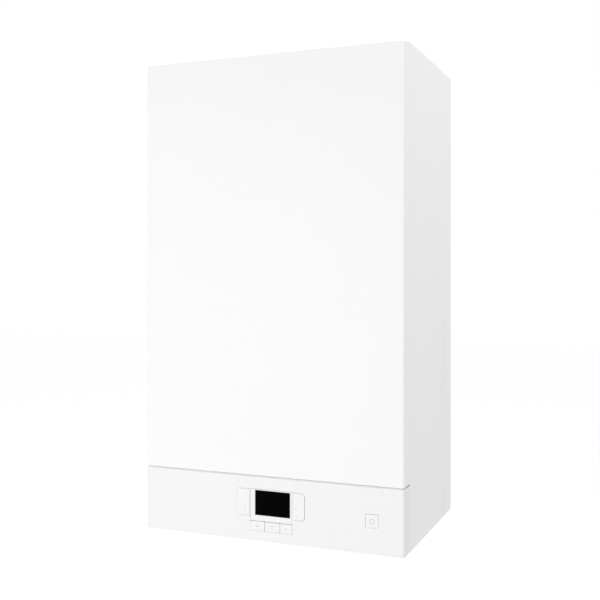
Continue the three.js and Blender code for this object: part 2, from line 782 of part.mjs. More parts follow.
// Power board of the control box, with its relays, transformer, capacitors and plugs.
function mainBoard() {
  const half = boxHalfWidth - boxWall - seat;
  const y = hingeY + 24;
  const reach = boxRadius - boxWall - seat;
  const top = hingeZ + Math.sqrt(reach * reach - 26 * 26);
  const board = box([-half, half], [y, y + 1.6], [hingeZ + 3, top - 2]);
  const parts = [
    box([24 - half, 68 - half], [y - 20, y + 0.5], [hingeZ + 18, hingeZ + 58]),
    box([half - 54, half - 24], [y - 12, y + 0.5], [hingeZ + 44, hingeZ + 64]),
  ];
  for (let i = 0; i < 4; i += 1) {
    const x = -80 + i * 26;
    parts.push(box([x, x + 18], [y - 13, y + 0.5], [hingeZ + 36, hingeZ + 62]));
  }
  for (let i = 0; i < 3; i += 1) {
    const x = 52 + i * 22;
    parts.push(bar([x, y - 18, hingeZ + 54], [x, y + 0.5, hingeZ + 54], 7, 12));
  }
  for (let i = 0; i < 7; i += 1) {
    const x = -90 + i * 32;
    parts.push(box([x, x + 24], [y - 10, y + 0.5], [hingeZ + 7, hingeZ + 17]));
  }
  return join(board, ...parts);
}

// A rocker key, rounded on its outer side, with a pivot bar and two feet behind.
function rocker({ inner, outer }) {
  const side = Math.sign(outer - inner);
  const near = inner + side * keyGap / 2;
  const middleX = (inner + outer) / 2;
  const half = Math.abs(outer - inner) / 2 - 2;
  const shape = new THREE.Shape();
  const r = rockerCorner;
  shape.moveTo(near, rockerBottom);
  shape.lineTo(outer - side * r, rockerBottom);
  shape.absarc(outer - side * r, rockerBottom + r, r, -Math.PI / 2, side > 0 ? 0 : -Math.PI, side < 0);
  shape.absarc(outer - side * r, rockerTop - r, r, side > 0 ? 0 : Math.PI, Math.PI / 2, side < 0);
  shape.lineTo(near, rockerTop);
  const cap = prism(shape, 'y', keyFront, keyRear, 5);
  const pivot = bar([middleX - half + 1, rockerPivotY, rockerMiddle],
    [middleX + half - 1, rockerPivotY, rockerMiddle], pivotRadius, 8);
  const web = box([middleX - half + 1, middleX + half - 1], [keyRear - 0.5, rockerPivotY],
    [rockerMiddle - 1.2, rockerMiddle + 1.2]);
  const feet = [-1, 1].map((away) => {
    const z = rockerMiddle + away * rockerFootReach;
    return bar([middleX, keyRear - 0.5, z], [middleX, stemEnd, z], 1.8, 8);
  });
  return join(cap, pivot, web, ...feet);
}

function smallButton({ x }) {
  const z = (buttonTop + buttonBottom) / 2;
  const shape = roundedRectangle([x[0] + keyGap / 2, x[1] - keyGap / 2], [buttonBottom, buttonTop], 1);
  const cap = prism(shape, 'y', keyFront, keyRear, 2);
  const stem = bar([middle(x), keyRear - 0.5, z], [middle(x), stemEnd, z], switchRadius, 8);
  return cap.add(stem);
}

function powerButton() {
  const half = powerSize / 2;
  const shape = roundedRectangle([powerX - half, powerX + half], [powerZ - half, powerZ + half], 2);
  const cap = prism(shape, 'y', keyFront, keyRear, 3);
  return cap.add(box([powerX - 5, powerX + 5], [keyRear - 0.5, keyRear + 10], [powerZ - 5, powerZ + 5]));
}

function powerSwitch() {
  const half = powerSize / 2 + 3;
  const rear = carrierFront + 18;
  const body = box([powerX - half, powerX + half], [carrierFront, rear], [powerZ - half, powerZ + half]);
  const capHalf = powerSize / 2 + keyGap;
  const capRoom = box([powerX - capHalf, powerX + capHalf], [carrierFront - 1, keyRear + powerTravel + 1],
    [powerZ - capHalf, powerZ + capHalf]);
  const stemHalf = 5 + seat;
  const stemRoom = box([powerX - stemHalf, powerX + stemHalf],
    [carrierFront - 1, keyRear + 10 + powerTravel + 1], [powerZ - stemHalf, powerZ + stemHalf]);
  const terminals = [-6, 0, 6].map((x) => box([powerX + x - 0.4, powerX + x + 0.4], [rear - 1, rear + 7],
    [powerZ - 3, powerZ + 3]));
  return join(cut(body, capRoom, stemRoom), ...terminals);
}

// ---- Burner, fan and flue --------------------------------------------------------------------

const neckTop = exchangerHeight + exchangerRadius + 20;
const portBottom = exchangerHeight - exchangerRadius - 8;
const waterPortX = exchangerRadius / 2;
const fanFront = manifoldFront;
const fanRear = fanFront + fanWidth;
const fanTop = fanHeight + fanRadius + fanGrowth;
const fanOutletX = fanX + fanRadius + fanGrowth - fanOutletHalf;
const impellerRadius = fanRadius - fanWall - fanRunningGap;
const shaftRadius = 4;
const venturiRear = fanRear + seat + 52;
const venturiThroat = impellerRadius / 2 - 5;
const linkY = fanRear + seat + 22;
const gasValveTop = gasValveHeight + gasValveSize / 2;

function heatExchanger() {
  const rear = frameFront;
  const profile = [[0, rear], [exchangerRadius - 12, rear], [exchangerRadius - 4, rear - 8]];
  const pitch = (exchangerDepth - 30) / exchangerRibs;
  for (let i = 0; i < exchangerRibs; i += 1) {
    const y = rear - 16 - i * pitch;
    profile.push([exchangerRadius - 4, y + 4]);
    profile.push([exchangerRadius, y]);
    profile.push([exchangerRadius - 4, y - 4]);
  }
  profile.push([exchangerRadius - 4, exchangerFront + 10]);
  profile.push([exchangerRadius + 4, exchangerFront + 8]);
  profile.push([exchangerRadius + 4, exchangerFront]);
  profile.push([0, exchangerFront]);
  const shell = revolve(profile, 'y', [0, 0, exchangerHeight], 18);
  const y = -flueFromWall;
  const neck = bar([0, y, exchangerHeight], [0, y, neckTop], exhaustRadius + flueWall + 4, 18);
  const socket = bore([0, y, neckTop - socketDepth], [0, y, neckTop + 1],
    exhaustRadius + flueWall + seat, 18);
  const [flow, back] = [-waterPortX, waterPortX].map((x) => bar([x, pipeY, portBottom],
    [x, pipeY, exchangerHeight], pipeRadius + 3, 8));
  const drain = bar([0, pipeY, portBottom], [0, pipeY, exchangerHeight], hoseRadius + 1, 8);
  return join(shell, neck, flow, back, drain).subtract(socket);
}

function burnerDoor() {
  const rear = exchangerFront - seat;
  const profile = [
    [0, rear],
    [doorRadius, rear],
    [doorRadius, rear - 5],
    [doorRadius - 8, rear - 7],
    [doorRadius - 26, rear - 7],
    [doorRadius - 32, doorFront + 2],
    [doorRadius - 34, doorFront],
    [0, doorFront],
  ];
  let door = revolve(profile, 'y', [0, 0, exchangerHeight], 18);
  for (let i = 0; i < doorStuds; i += 1) {
    const angle = (i / doorStuds) * Math.PI * 2;
    const x = Math.cos(angle) * (doorRadius - 9);
    const z = exchangerHeight + Math.sin(angle) * (doorRadius - 9);
    door = door.add(bar([x, rear - 4, z], [x, rear - 12, z], 6, 6));
    door = door.add(bar([x, rear - 11, z], [x, doorFront + 1, z], 3, 6));
  }
  return door;
}

// Cast duct that carries gas and air from the fan up to the middle of the burner door.
function burnerManifold() {
  const bottom = fanTop + seat;
  const left = fanOutletX - fanOutletHalf - 4;
  const right = fanOutletX + fanOutletHalf + 4;
  const radius = doorRadius - 40;
  const shape = new THREE.Shape();
  shape.moveTo(left, bottom + 5);
  shape.lineTo(left, bottom);
  shape.lineTo(right, bottom);
  shape.lineTo(right, bottom + 5);
  shape.lineTo(right - 4, bottom + 9);
  shape.absarc(0, exchangerHeight, radius, -0.45, Math.PI + 0.3);
  shape.lineTo(left + 4, bottom + 9);
  const duct = prism(shape, 'y', manifoldFront, manifoldRear, 14);
  const pad = bar([0, manifoldFront - 3, exchangerHeight], [0, manifoldFront + 1, exchangerHeight],
    radius - 8, 18);
  return duct.add(pad);
}

// Spark or flame electrode: a ceramic stem in a fixing plate, with its terminal in front.
function electrode(side) {
  const angle = Math.PI / 2 - side * 0.9;
  const reach = doorRadius - 17;
  const x = Math.cos(angle) * reach;
  const z = exchangerHeight + Math.sin(angle) * reach;
  const base = exchangerFront - seat - 7 - seat;
  const plate = box([x - 7, x + 7], [base - 2, base], [z - 4.5, z + 4.5]);
  const stem = revolve([
    [0, base - 1],
    [4, base - 1],
    [4, base - 16],
    [1.5, base - 17],
    [1.5, base - 25],
    [0, base - 25],
  ], 'y', [x, 0, z], 10);
  return plate.add(stem);
}

// The fan's scroll, inset from its outside: a spiral that opens into an outlet at the top.
function scroll(inset, top) {
  const start = Math.acos((fanRadius + fanGrowth - 2 * fanOutletHalf) / fanRadius);
  const shape = new THREE.Shape();
  const turns = 22;
  for (let i = 0; i <= turns; i += 1) {
    const share = i / turns;
    const angle = start + share * (Math.PI * 2 - start);
    const radius = fanRadius + fanGrowth * share - inset;
    const point = [fanX + Math.cos(angle) * radius, fanHeight + Math.sin(angle) * radius];
    if (i === 0) shape.moveTo(...point);
    else shape.lineTo(...point);
  }
  shape.lineTo(fanOutletX + fanOutletHalf - inset, top);
  shape.lineTo(fanOutletX - fanOutletHalf + inset, top);
  return shape;
}

function fanHousing() {
  const body = prism(scroll(0, fanTop), 'y', fanFront, fanRear);
  const hollow = prism(scroll(fanWall, fanTop + 1), 'y', fanFront + fanWall, fanRear - fanWall);
  const flange = box(
    [fanOutletX - fanOutletHalf - 4, fanOutletX + fanOutletHalf + 4],
    [fanFront + fanWall + 1, fanRear - fanWall - 1],
    [fanTop - 4, fanTop],
  );
  const centre = [fanX, 0, fanHeight];
  const inlet = bar([centre[0], fanRear - fanWall - 1, centre[2]], [centre[0], fanRear + 1, centre[2]],
    impellerRadius / 2, 16);
  const eye = bore([centre[0], fanFront - 1, centre[2]], [centre[0], fanFront + fanWall + 1, centre[2]],
    shaftRadius + 3);
  return cut(join(body, flange), hollow, inlet, eye);
}

// Wheel of the fan: a back plate on its shaft, swept-back blades and a ring that joins them.
function fanImpeller() {
  const back = fanFront + fanWall + fanRunningGap;
  const nose = fanRear - fanWall - fanRunningGap;
  const inner = impellerRadius * 0.45;
  const disc = revolve([
    [0, back],
    [impellerRadius, back],
    [impellerRadius, back + 1.5],
    [9, back + 1.5],
    [9, back + 12],
    [0, back + 12],
  ], 'y', [fanX, 0, fanHeight], 20);
  const ring = revolve([
    [inner, nose - 1.5],
    [impellerRadius, nose - 1.5],
    [impellerRadius, nose],
    [inner, nose],
    [inner, nose - 1.5],
  ], 'y', [fanX, 0, fanHeight], 20);
  const shaft = bar([fanX, fanFront - 18, fanHeight], [fanX, back + 1, fanHeight], shaftRadius, 10);
  let wheel = join(disc, ring, shaft);
  const root = inner + 1;
  const tip = impellerRadius - 0.7;
  for (let i = 0; i < fanBlades; i += 1) {
    const turn = (i / fanBlades) * Math.PI * 2;
    const at = (radius, lag) => [
      fanX + Math.cos(turn - lag) * radius,
      fanHeight + Math.sin(turn - lag) * radius,
    ];
    const blade = polygon([
      at(root, 0), at((root + tip) / 2, 0.2), at(tip, 0.55),
      at(tip, 0.6), at((root + tip) / 2, 0.26), at(root, 0.1),
    ]);
    wheel = wheel.add(prism(blade, 'y', back + 1, nose - 1));
  }
  return wheel;
}

function fanMotor() {
  const rear = fanFront - seat;
  const end = rear - motorLength;
  const profile = [
    [0, rear],
    [motorRadius, rear],
    [motorRadius, rear - 4],
    [motorRadius - 4, rear - 6],
    [motorRadius - 4, end + 8],
    [motorRadius - 10, end + 2],
    [motorRadius - 20, end],
    [0, end],
  ];
  const bearing = bore([fanX, rear + 1, fanHeight], [fanX, rear - 22, fanHeight], shaftRadius + seat);
  const plug = box([fanX - 12, fanX + 12], [rear - 26, rear - 8],
    [fanHeight - motorRadius - 6, fanHeight - motorRadius + 10]);
  return revolve(profile, 'y', [fanX, 0, fanHeight], 18).add(plug).subtract(bearing);
}

// Mixer behind the fan: air enters its mouth and draws gas in at the throat.
function venturi() {
  const near = fanRear + seat;
  const throat = venturiThroat;
  const profile = [
    [impellerRadius / 2, near],
    [impellerRadius / 2 + 12, near],
    [impellerRadius / 2 + 12, near + 5],
    [throat + 8, near + 9],
    [throat + 8, near + 36],
    [throat + 16, venturiRear - 4],
    [throat + 16, venturiRear],
    [throat + 12, venturiRear],
    [throat, near + 30],
    [throat, near + 18],
    [impellerRadius / 2, near],
  ];
  return revolve(profile, 'y', [fanX, 0, fanHeight], 18);
}

function gasLink() {
  const start = gasValveX - gasValveSize / 2 - seat;
  const reach = venturiThroat + 8;
  const route = [[start, linkY, fanHeight], [fanX + reach - 4, linkY, fanHeight]];
  const link = bar(route[0], route[1], 8, 14);
  const collar = bar(route[0], [start - 8, linkY, fanHeight], 13, 6);
  return cut(join(link, collar), bore([fanX, linkY - 20, fanHeight], [fanX, linkY + 20, fanHeight],
    reach + seat, 18));
}

function gasValve() {
  const half = gasValveSize / 2;
  const y = [linkY - half, linkY + half];
  const body = prism(roundedRectangle([gasValveX - half, gasValveX + half], y, 6), 'z',
    gasValveHeight - half, gasValveTop, 3);
  const coils = [-1, 1].map((side) => bar(
    [gasValveX + side * 16, linkY, gasValveTop - 1],
    [gasValveX + side * 16, linkY, gasValveTop + 24],
    13, 12,
  ));
  const z = gasValveHeight - 8;
  const governor = bar([gasValveX, y[0] + 1, z], [gasValveX, y[0] - 14, z], 15, 12);
  const screw = bar([gasValveX, y[0] - 13, z], [gasValveX, y[0] - 18, z], 7, 8);
  return join(body, ...coils, governor, screw);
}

function flueDuct() {
  const outer = exhaustRadius + flueWall;
  const bottom = neckTop - socketDepth + seat;
  const top = caseHeight + flueRise - 2;
  return revolve([
    [exhaustRadius - 1, bottom],
    [outer, bottom],
    [outer, top],
    [exhaustRadius, top],
    [exhaustRadius, top - 40],
    [exhaustRadius - 1, top - 42],
    [exhaustRadius - 1, bottom],
  ], 'z', [0, -flueFromWall, 0], 20);
}

function flueCollar() {
  const bottom = caseHeight + seat;
  const top = caseHeight + flueRise;
  const outer = airRadius + flueWall + 0.8;
  const wall = revolve([
    [airRadius, bottom],
    [airRadius + 24, bottom],
    [airRadius + 24, bottom + 2],
    [outer + 2, bottom + 3],
    [outer, bottom + 6],
    [outer, top],
    [airRadius, top],
    [airRadius, bottom],
  ], 'z', [0, -flueFromWall, 0], 22);
  const fins = [0, 1, 2].map((i) => {
    const angle = Math.PI / 2 + (i * Math.PI * 2) / 3;
    const shape = polygon([
      [exhaustRadius + flueWall + seat, bottom],
      [airRadius + 1, bottom],
      [airRadius + 1, bottom + 12],
      [exhaustRadius + flueWall + seat, bottom + 9],
    ]);
    const settings = { depth: 2, bevelEnabled: false };
    const fin = new THREE.ExtrudeGeometry(shape, settings).translate(0, 0, -1).rotateX(Math.PI / 2);
    return solid(fin.rotateZ(angle).translate(0, -flueFromWall, 0));
  });
  return join(wall, ...fins);
}

// ---- Water and gas side ----------------------------------------------------------------------

// Flow, hot water, gas, cold water and return, from the left.
function tails() {
  const radii = [bigThread, smallThread, bigThread, smallThread, bigThread];
  return radii.map((radius, i) => ({ x: (i - 2) * tailSpacing, radius }));
}

// Threaded tail below the case, with its hexagon under the bottom plate.
function tail({ x, radius }, top) {
  const thread = revolve([
    [0, -tailDrop],
    [radius - 1.5, -tailDrop],
    [radius, -tailDrop + 1.5],
    [radius, -12],
    [radius - 1, -11],
    [radius - 1, top],
    [0, top],
  ], 'z', [x, tailY, 0], 12);
  return thread.add(bar([x, tailY, -11], [x, tailY, -seat], radius + 4, 6));
}

function tailBore({ x, radius }) {
  return bar([x, tailY, -tailDrop - 1], [x, tailY, 20], radius - tailWall, 8);
}

const plateFront = frameFront - plateCount * platePitch - 6;
const plateMiddle = plateBottom + plateHeight / 2;
const portRise = plateHeight / 2 - 14;
const chamberRadius = 16;
const chamberTop = 150;
const stemTop = chamberTop + 12;
const [flowTail, hotTail, gasTailPlace, coldTail, returnTail] = tails();
const reliefHeight = 75;
const reliefStemRadius = 3;
const knobRadius = 13.5;
const vesselPortHeight = 112;
const flowPortHeight = 128;
const pumpY = tailY;
const pumpFront = pumpY - pumpWidth / 2;
const pumpRear = pumpY + pumpWidth / 2;
const pumpNeck = pumpHeight - pumpRadius - 8;
const pumpOutletTop = pumpHeight + pumpRadius + 10;
const pumpOutletX = pumpX + 13;
const ventX = pumpX - 17;

function portsToPlate(x) {
  return [-1, 1].map((away) => {
    const z = plateMiddle + away * portRise;
    return bar([x, tailY, z], [x, plateFront - seat, z], 9, 8);
  });
}

// Brass block on the flow side: the diverting chamber over the flow tail, and the hot water
// barrel that stands at the plate exchanger.
function flowBlock() {
  const { x } = flowTail;
  const chamber = bar([x, tailY, 24], [x, tailY, chamberTop], chamberRadius, 12);
  const cap = bar([x, tailY, chamberTop - 8], [x, tailY, chamberTop], chamberRadius + 4, 6);
  const barrel = bar([hotTail.x, tailY, 24], [hotTail.x, tailY, blockTop], 13, 12);
  const bridge = bar([x, tailY, 48], [hotTail.x, tailY, 48], 10, 8);
  const relief = bar([x, tailY, reliefHeight], [x, tailY - 27, reliefHeight], 9, 6);
  const vesselPort = bar([x, tailY, vesselPortHeight], [x, tailY - 24, vesselPortHeight], 7, 8);
  const flowPort = bar([x, tailY, flowPortHeight], [x, tailY + 24, flowPortHeight], pipeRadius + 2, 8);
  const body = join(
    tail(flowTail, 30), tail(hotTail, 30), chamber, cap, barrel, bridge, relief, vesselPort, flowPort,
    ...portsToPlate(hotTail.x),
  );
  const divertBore = bore([x, tailY, reliefHeight + 8], [x, tailY, chamberTop + 1], 9, 12);
  return cut(body, divertBore, tailBore(flowTail), tailBore(hotTail));
}

// Brass block on the return side: the cold water barrel and the seat of the pump.
function returnBlock() {
  const top = pumpNeck - seat;
  const { x } = returnTail;
  const seatBarrel = bar([x, tailY, 24], [x, tailY, top], 15, 12);
  const rim = bar([x, tailY, top - 6], [x, tailY, top], 19, 6);
  const barrel = bar([coldTail.x, tailY, 24], [coldTail.x, tailY, blockTop], 13, 12);
  const bridge = bar([coldTail.x, tailY, 48], [x, tailY, 48], 10, 8);
  const filter = bar([coldTail.x, tailY, 70], [coldTail.x, tailY - 30, 70], 10, 8);
  const body = join(
    tail(coldTail, 30), tail(returnTail, 30), seatBarrel, rim, barrel, bridge, filter,
    ...portsToPlate(coldTail.x),
  );
  return cut(body, tailBore(coldTail), tailBore(returnTail));
}

// Brazed stack of pressed plates with thicker end plates.
function plateExchanger() {
  const half = plateLength / 2;
  const slab = (grow, from, to) => prism(roundedRectangle(
    [-half - grow, half + grow],
    [plateBottom - grow, plateBottom + plateHeight + grow],
    10,
  ), 'y', from, to, 2);
  let stack = slab(-2, plateFront, frameFront);
  for (let i = 0; i < plateCount; i += 1) {
    const rear = frameFront - 3 - i * platePitch;
    stack = stack.add(slab(0, rear - platePitch / 2, rear));
  }
  return stack;
}

function pumpHousing() {
  const body = revolve([
    [0, pumpFront],
    [pumpRadius + 4, pumpFront],
    [pumpRadius + 4, pumpFront + 6],
    [pumpRadius, pumpFront + 9],
    [pumpRadius, pumpRear - 8],
    [pumpRadius - 10, pumpRear],
    [0, pumpRear],
  ], 'y', [pumpX, 0, pumpHeight], 18);
  const inlet = bar([returnTail.x, pumpY, pumpNeck], [returnTail.x, pumpY, pumpHeight], 14, 12);
  const outlet = bar([pumpOutletX, pumpY, pumpHeight], [pumpOutletX, pumpY, pumpOutletTop],
    pipeRadius + 3, 12);
  const vent = bar([ventX, pumpY, pumpHeight], [ventX, pumpY, pumpHeight + pumpRadius + 4], 8, 10);
  const cavity = bar([pumpX, pumpFront - 1, pumpHeight], [pumpX, pumpRear - 14, pumpHeight],
    pumpRadius - 7, 18);
  return join(body, inlet, outlet, vent).subtract(cavity);
}

function pumpImpeller() {
  const radius = pumpRadius - 10;
  const back = pumpFront + 2;
  const nose = pumpRear - 17;
  const centre = [pumpX, 0, pumpHeight];
  const disc = revolve([[0, back], [radius, back], [radius, back + 2], [0, back + 2]], 'y', centre, 20);
  const shaft = bar([pumpX, pumpFront - 16, pumpHeight], [pumpX, nose - 2, pumpHeight], pumpShaftRadius, 10);
  let wheel = join(disc, shaft);
  for (let i = 0; i < pumpVanes; i += 1) {
    const turn = (i / pumpVanes) * Math.PI * 2;
    const at = (r, lag) => [pumpX + Math.cos(turn - lag) * r, pumpHeight + Math.sin(turn - lag) * r];
    const tip = radius - 1;
    const vane = polygon([at(8, 0), at(18, 0.35), at(tip, 0.9), at(tip, 1), at(18, 0.5), at(8, 0.35)]);
    wheel = wheel.add(prism(vane, 'y', back + 1, nose));
  }
  return wheel;
}

function pumpMotor() {
  const rear = pumpFront - seat;
  const end = rear - pumpMotorLength;
  const body = revolve([
    [0, rear],
    [pumpRadius + 4, rear],
    [pumpRadius + 4, rear - 6],
    [pumpRadius - 4, rear - 8],
    [pumpRadius - 4, end + 6],
    [pumpRadius - 8, end + 2],
    [8, end],
    [0, end],
  ], 'y', [pumpX, 0, pumpHeight], 18);
  const terminals = box([pumpX - 22, pumpX + 22], [end + 4, rear - 12],
    [pumpHeight + pumpRadius - 14, pumpHeight + pumpRadius + 8]);
  const bearing = bore([pumpX, rear + 1, pumpHeight], [pumpX, rear - 20, pumpHeight],
    pumpShaftRadius + seat, 10);
  return body.add(terminals).subtract(bearing);
}

function airVent() {
  const base = pumpHeight + pumpRadius + 4 + seat;
  return revolve([
    [0, base],
    [9, base],
    [9, base + 3],
    [14, base + 5],
    [14, base + 28],
    [10, base + 31],
    [5, base + 31],
    [5, base + 37],
    [0, base + 37],
  ], 'z', [ventX, pumpY, 0], 14);
}

function diverterStem() {
  const bottom = reliefHeight + 8 + divertTravel + 2;
  return revolve([
    [0, bottom],
    [7.5, bottom],
    [7.5, bottom + 4],
    [stemRadius, bottom + 6],
    [stemRadius, stemTop],
    [0, stemTop],
  ], 'z', [flowTail.x, tailY, 0], 14);
}

function diverterActuator() {
  const { x } = flowTail;
  const base = chamberTop + seat;
  const skirt = bar([x, tailY, base], [x, tailY, base + 9], chamberRadius + 4, 16);
  const plan = roundedRectangle([x - 20, x + 22], [tailY - 20, tailY + 22], 5);
  const housing = prism(plan, 'z', base + 8, base + 44, 3);
  const stemBore = bore([x, tailY, base - 1], [x, tailY, stemTop + 3], stemRadius + seat);
  const plug = box([x - 9, x + 9], [tailY - 28, tailY - 18], [base + 20, base + 34]);
  return join(skirt, housing, plug).subtract(stemBore);
}

const reliefSeat = tailY - 27 - seat;
const reliefKnobRear = reliefSeat - 32 - seat;

function reliefValve() {
  const { x } = flowTail;
  const body = revolve([
    [0, reliefSeat],
    [11, reliefSeat],
    [11, reliefSeat - 20],
    [8, reliefSeat - 24],
    [8, reliefSeat - 32],
    [reliefStemRadius, reliefSeat - 32],
    [reliefStemRadius, reliefSeat - 40],
    [0, reliefSeat - 40],
  ], 'y', [x, 0, reliefHeight], 12);
  const outlet = bar([x, reliefSeat - 11, reliefHeight], [x, reliefSeat - 11, reliefHeight - 27], 8, 10);
  const way = bar([x, reliefSeat - 11, reliefHeight - 28], [x, reliefSeat - 11, reliefHeight - 8], 5, 8);
  return body.add(outlet).subtract(way);
}

function reliefKnob() {
  const { x } = flowTail;
  const lobes = 6;
  const shape = new THREE.Shape();
  for (let i = 0; i < lobes * 4; i += 1) {
    const angle = (i / (lobes * 4)) * Math.PI * 2;
    const radius = knobRadius + Math.cos(angle * lobes) * 1.2;
    const point = [x + Math.cos(angle) * radius, reliefHeight + Math.sin(angle) * radius];
    if (i === 0) shape.moveTo(...point);
    else shape.lineTo(...point);
  }
  const grip = prism(shape, 'y', reliefKnobRear - 16, reliefKnobRear);
  const stemRoom = bore([x, reliefKnobRear + 1, reliefHeight], [x, reliefKnobRear - 10, reliefHeight],
    reliefStemRadius + seat);
  return grip.subtract(stemRoom);
}

function vesselPlace() {
  const left = -halfWidth + vesselGap;
  const rear = -frameSheet - frameFlange / 2;
  return {
    x: [left, left + vesselWidth],
    y: [rear - vesselDepth, rear],
    z: [vesselBottom, vesselBottom + vesselHeight],
  };
}

const vessel = vesselPlace();
const nippleX = vessel.x[0] + nippleInset;
const nippleY = tailY - nippleForward;
const nippleEnd = vessel.z[0] - nippleLength;

// Flat steel vessel made of two pressed dishes, open at its water connection.
function expansionVessel() {
  const dish = 16;
  const shell = (inset, bevelSegments, arcSteps) => {
    const radius = vesselCorner - inset;
    const shape = roundedRectangle(
      [vessel.y[0] + dish + inset, vessel.y[1] - dish - inset],
      [vessel.z[0] + dish + inset, vessel.z[1] - dish - inset],
      radius - dish,
    );
    const depth = vesselWidth - 2 * dish - 2 * inset;
    const curveSegments = arcSteps / 2;
    const settings = { depth, bevelThickness: dish, bevelSize: dish, bevelSegments, curveSegments };
    const geometry = new THREE.ExtrudeGeometry(shape, settings);
    geometry.applyMatrix4(ontoX).translate(vessel.x[0] + dish + inset, 0, 0);
    return solid(geometry);
  };
  const top = vessel.z[0] + 10;
  const nipple = bar([nippleX, nippleY, nippleEnd], [nippleX, nippleY, top], 7, 12);
  const way = bar([nippleX, nippleY, nippleEnd - 1], [nippleX, nippleY, top + 5], 4, 8);
  return cut(shell(0, 3, 4).add(nipple), shell(vesselSheet, 2, 3), way);
}

function vesselBracket() {
  const top = vessel.z[0] - seat;
  const x = [vessel.x[0] + 4, vessel.x[1] - 4];
  const rear = frameFront;
  const shelf = box(x, [nippleY - 25, rear], [top - bracketSheet, top]);
  const leg = box(x, [rear - bracketSheet, rear], [top - bracketSheet, top + 60]);
  const hole = bore([nippleX, nippleY, top - 5], [nippleX, nippleY, top + 1], 9);
  return cut(join(shelf, leg), hole);
}

function vesselHose() {
  const { x } = flowTail;
  return tube([
    [nippleX, nippleY, nippleEnd - seat],
    [nippleX, nippleY, nippleEnd - seat - bendRadius],
    [x, nippleY, vesselPortHeight + 2 * bendRadius],
    [x, nippleY, vesselPortHeight],
    [x, tailY - 24 - seat, vesselPortHeight],
  ], 7);
}

function flowPipe() {
  const { x } = flowTail;
  return tube([
    [-waterPortX, pipeY, portBottom - seat],
    [-waterPortX, pipeY, crossoverHeight],
    [x, pipeY, crossoverHeight],
    [x, pipeY, flowPortHeight],
    [x, tailY + 24 + seat, flowPortHeight],
  ], pipeRadius, { bend: bendRadius - 2 });
}

function returnPipe() {
  return tube([
    [waterPortX, pipeY, portBottom - seat],
    [waterPortX, pipeY, crossoverHeight],
    [pumpOutletX, pipeY, crossoverHeight],
    [pumpOutletX, pumpY, crossoverHeight],
    [pumpOutletX, pumpY, pumpOutletTop + seat],
  ], pipeRadius);
}

function gasPipe() {
  const turn = crossoverHeight + 40;
  return tube([
    [gasTailPlace.x, tailY, 20 + seat],
    [gasTailPlace.x, tailY, turn],
    [gasValveX, linkY, turn],
    [gasValveX, linkY, gasValveHeight - gasValveSize / 2 - seat],
  ], pipeRadius);
}

function gasTail() {
  const nut = bar([gasTailPlace.x, tailY, 8], [gasTailPlace.x, tailY, 20], pipeRadius + 6, 6);
  return join(tail(gasTailPlace, 12), nut).subtract(tailBore(gasTailPlace));
}

function condensateHose() {
  const turn = crossoverHeight + 75;
  return tube([
    [0, pipeY, portBottom - seat],
    [0, pipeY, turn],
    [trapX, -trapFromWall, turn],
    [trapX, -trapFromWall, trapHeight + seat],
  ], hoseRadius);
}

function condensateTrap() {
  const base = frameSheet + seat;
  return revolve([
    [drainRadius - 4, -trapDrop],
    [drainRadius, -trapDrop],
    [drainRadius, base],
    [trapRadius - 4, base],
    [trapRadius, base + 6],
    [trapRadius, trapHeight - 26],
    [trapRadius + 2, trapHeight - 26],
    [trapRadius + 2, trapHeight - 14],
    [trapRadius / 2, trapHeight - 10],
    [trapRadius / 2 - 2, trapHeight],
    [0, trapHeight],
    [0, base + 10],
    [drainRadius - 4, base + 8],
    [drainRadius - 4, -trapDrop],
  ], 'z', [trapX, -trapFromWall, 0], 14);
}

// ---- Assembly --------------------------------------------------------------------------------

function casing() {
  const group = new THREE.Group();
  group.add(
    piece('back_frame', backFrame(), galvanised),
    piece('side_panel_left', sidePanel(-1), whitePaint),
    piece('side_panel_right', sidePanel(1), whitePaint),
    piece('top_plate', topPlate(), whitePaint),
    piece('bottom_plate', bottomPlate(), galvanised),
    piece('front_cover', frontCover(), whitePaint, [0, front, coverBottom]),
  );
  for (const [end, side] of [['left', -1], ['right', 1]]) {
    group.add(
      piece(`cover_stud_${end}`, coverStud(side), stainless, [0, returnRear, catchHeight]),
      piece(`cover_clip_${end}`, coverClip(side), stainless, [0, panelFront, catchHeight]),
      piece(`hinge_bracket_${end}`, hingeBracket(side), galvanised, [0, hingeY, hingeZ]),
    );
  }
  return group;
}

function controlBox() {
  const group = new THREE.Group();
  const hinge = [0, hingeY, hingeZ];
  group.add(
    piece('fascia', fascia(), whitePlastic, hinge),
    piece('control_box_cover', controlBoxCover(), darkPlastic, hinge),
    piece('key_carrier', keyCarrier(), greyPlastic, hinge),
    piece('display_bezel', displayBezel(), whitePlastic, hinge),
    piece('display_window', displayWindow(), blackGlass, hinge),
    piece('display_module', displayModule(), darkPlastic, hinge),
    piece('display_board', displayBoard(), greenBoard, hinge),
    piece('main_board', mainBoard(), greenBoard, hinge),
    piece('power_switch', powerSwitch(), darkPlastic, [powerX, front, powerZ]),
    piece('power_button', powerButton(), whitePlastic, [powerX, front, powerZ]),
  );
  for (const key of rockers) {
    const pivot = [(key.inner + key.outer) / 2, rockerPivotY, rockerMiddle];
    group.add(piece(key.name, rocker(key), whitePlastic, pivot));
  }
  for (const key of buttons) {
    group.add(piece(key.name, smallButton(key), whitePlastic, [middle(key.x), front, buttonBottom]));
  }
  return group;
}

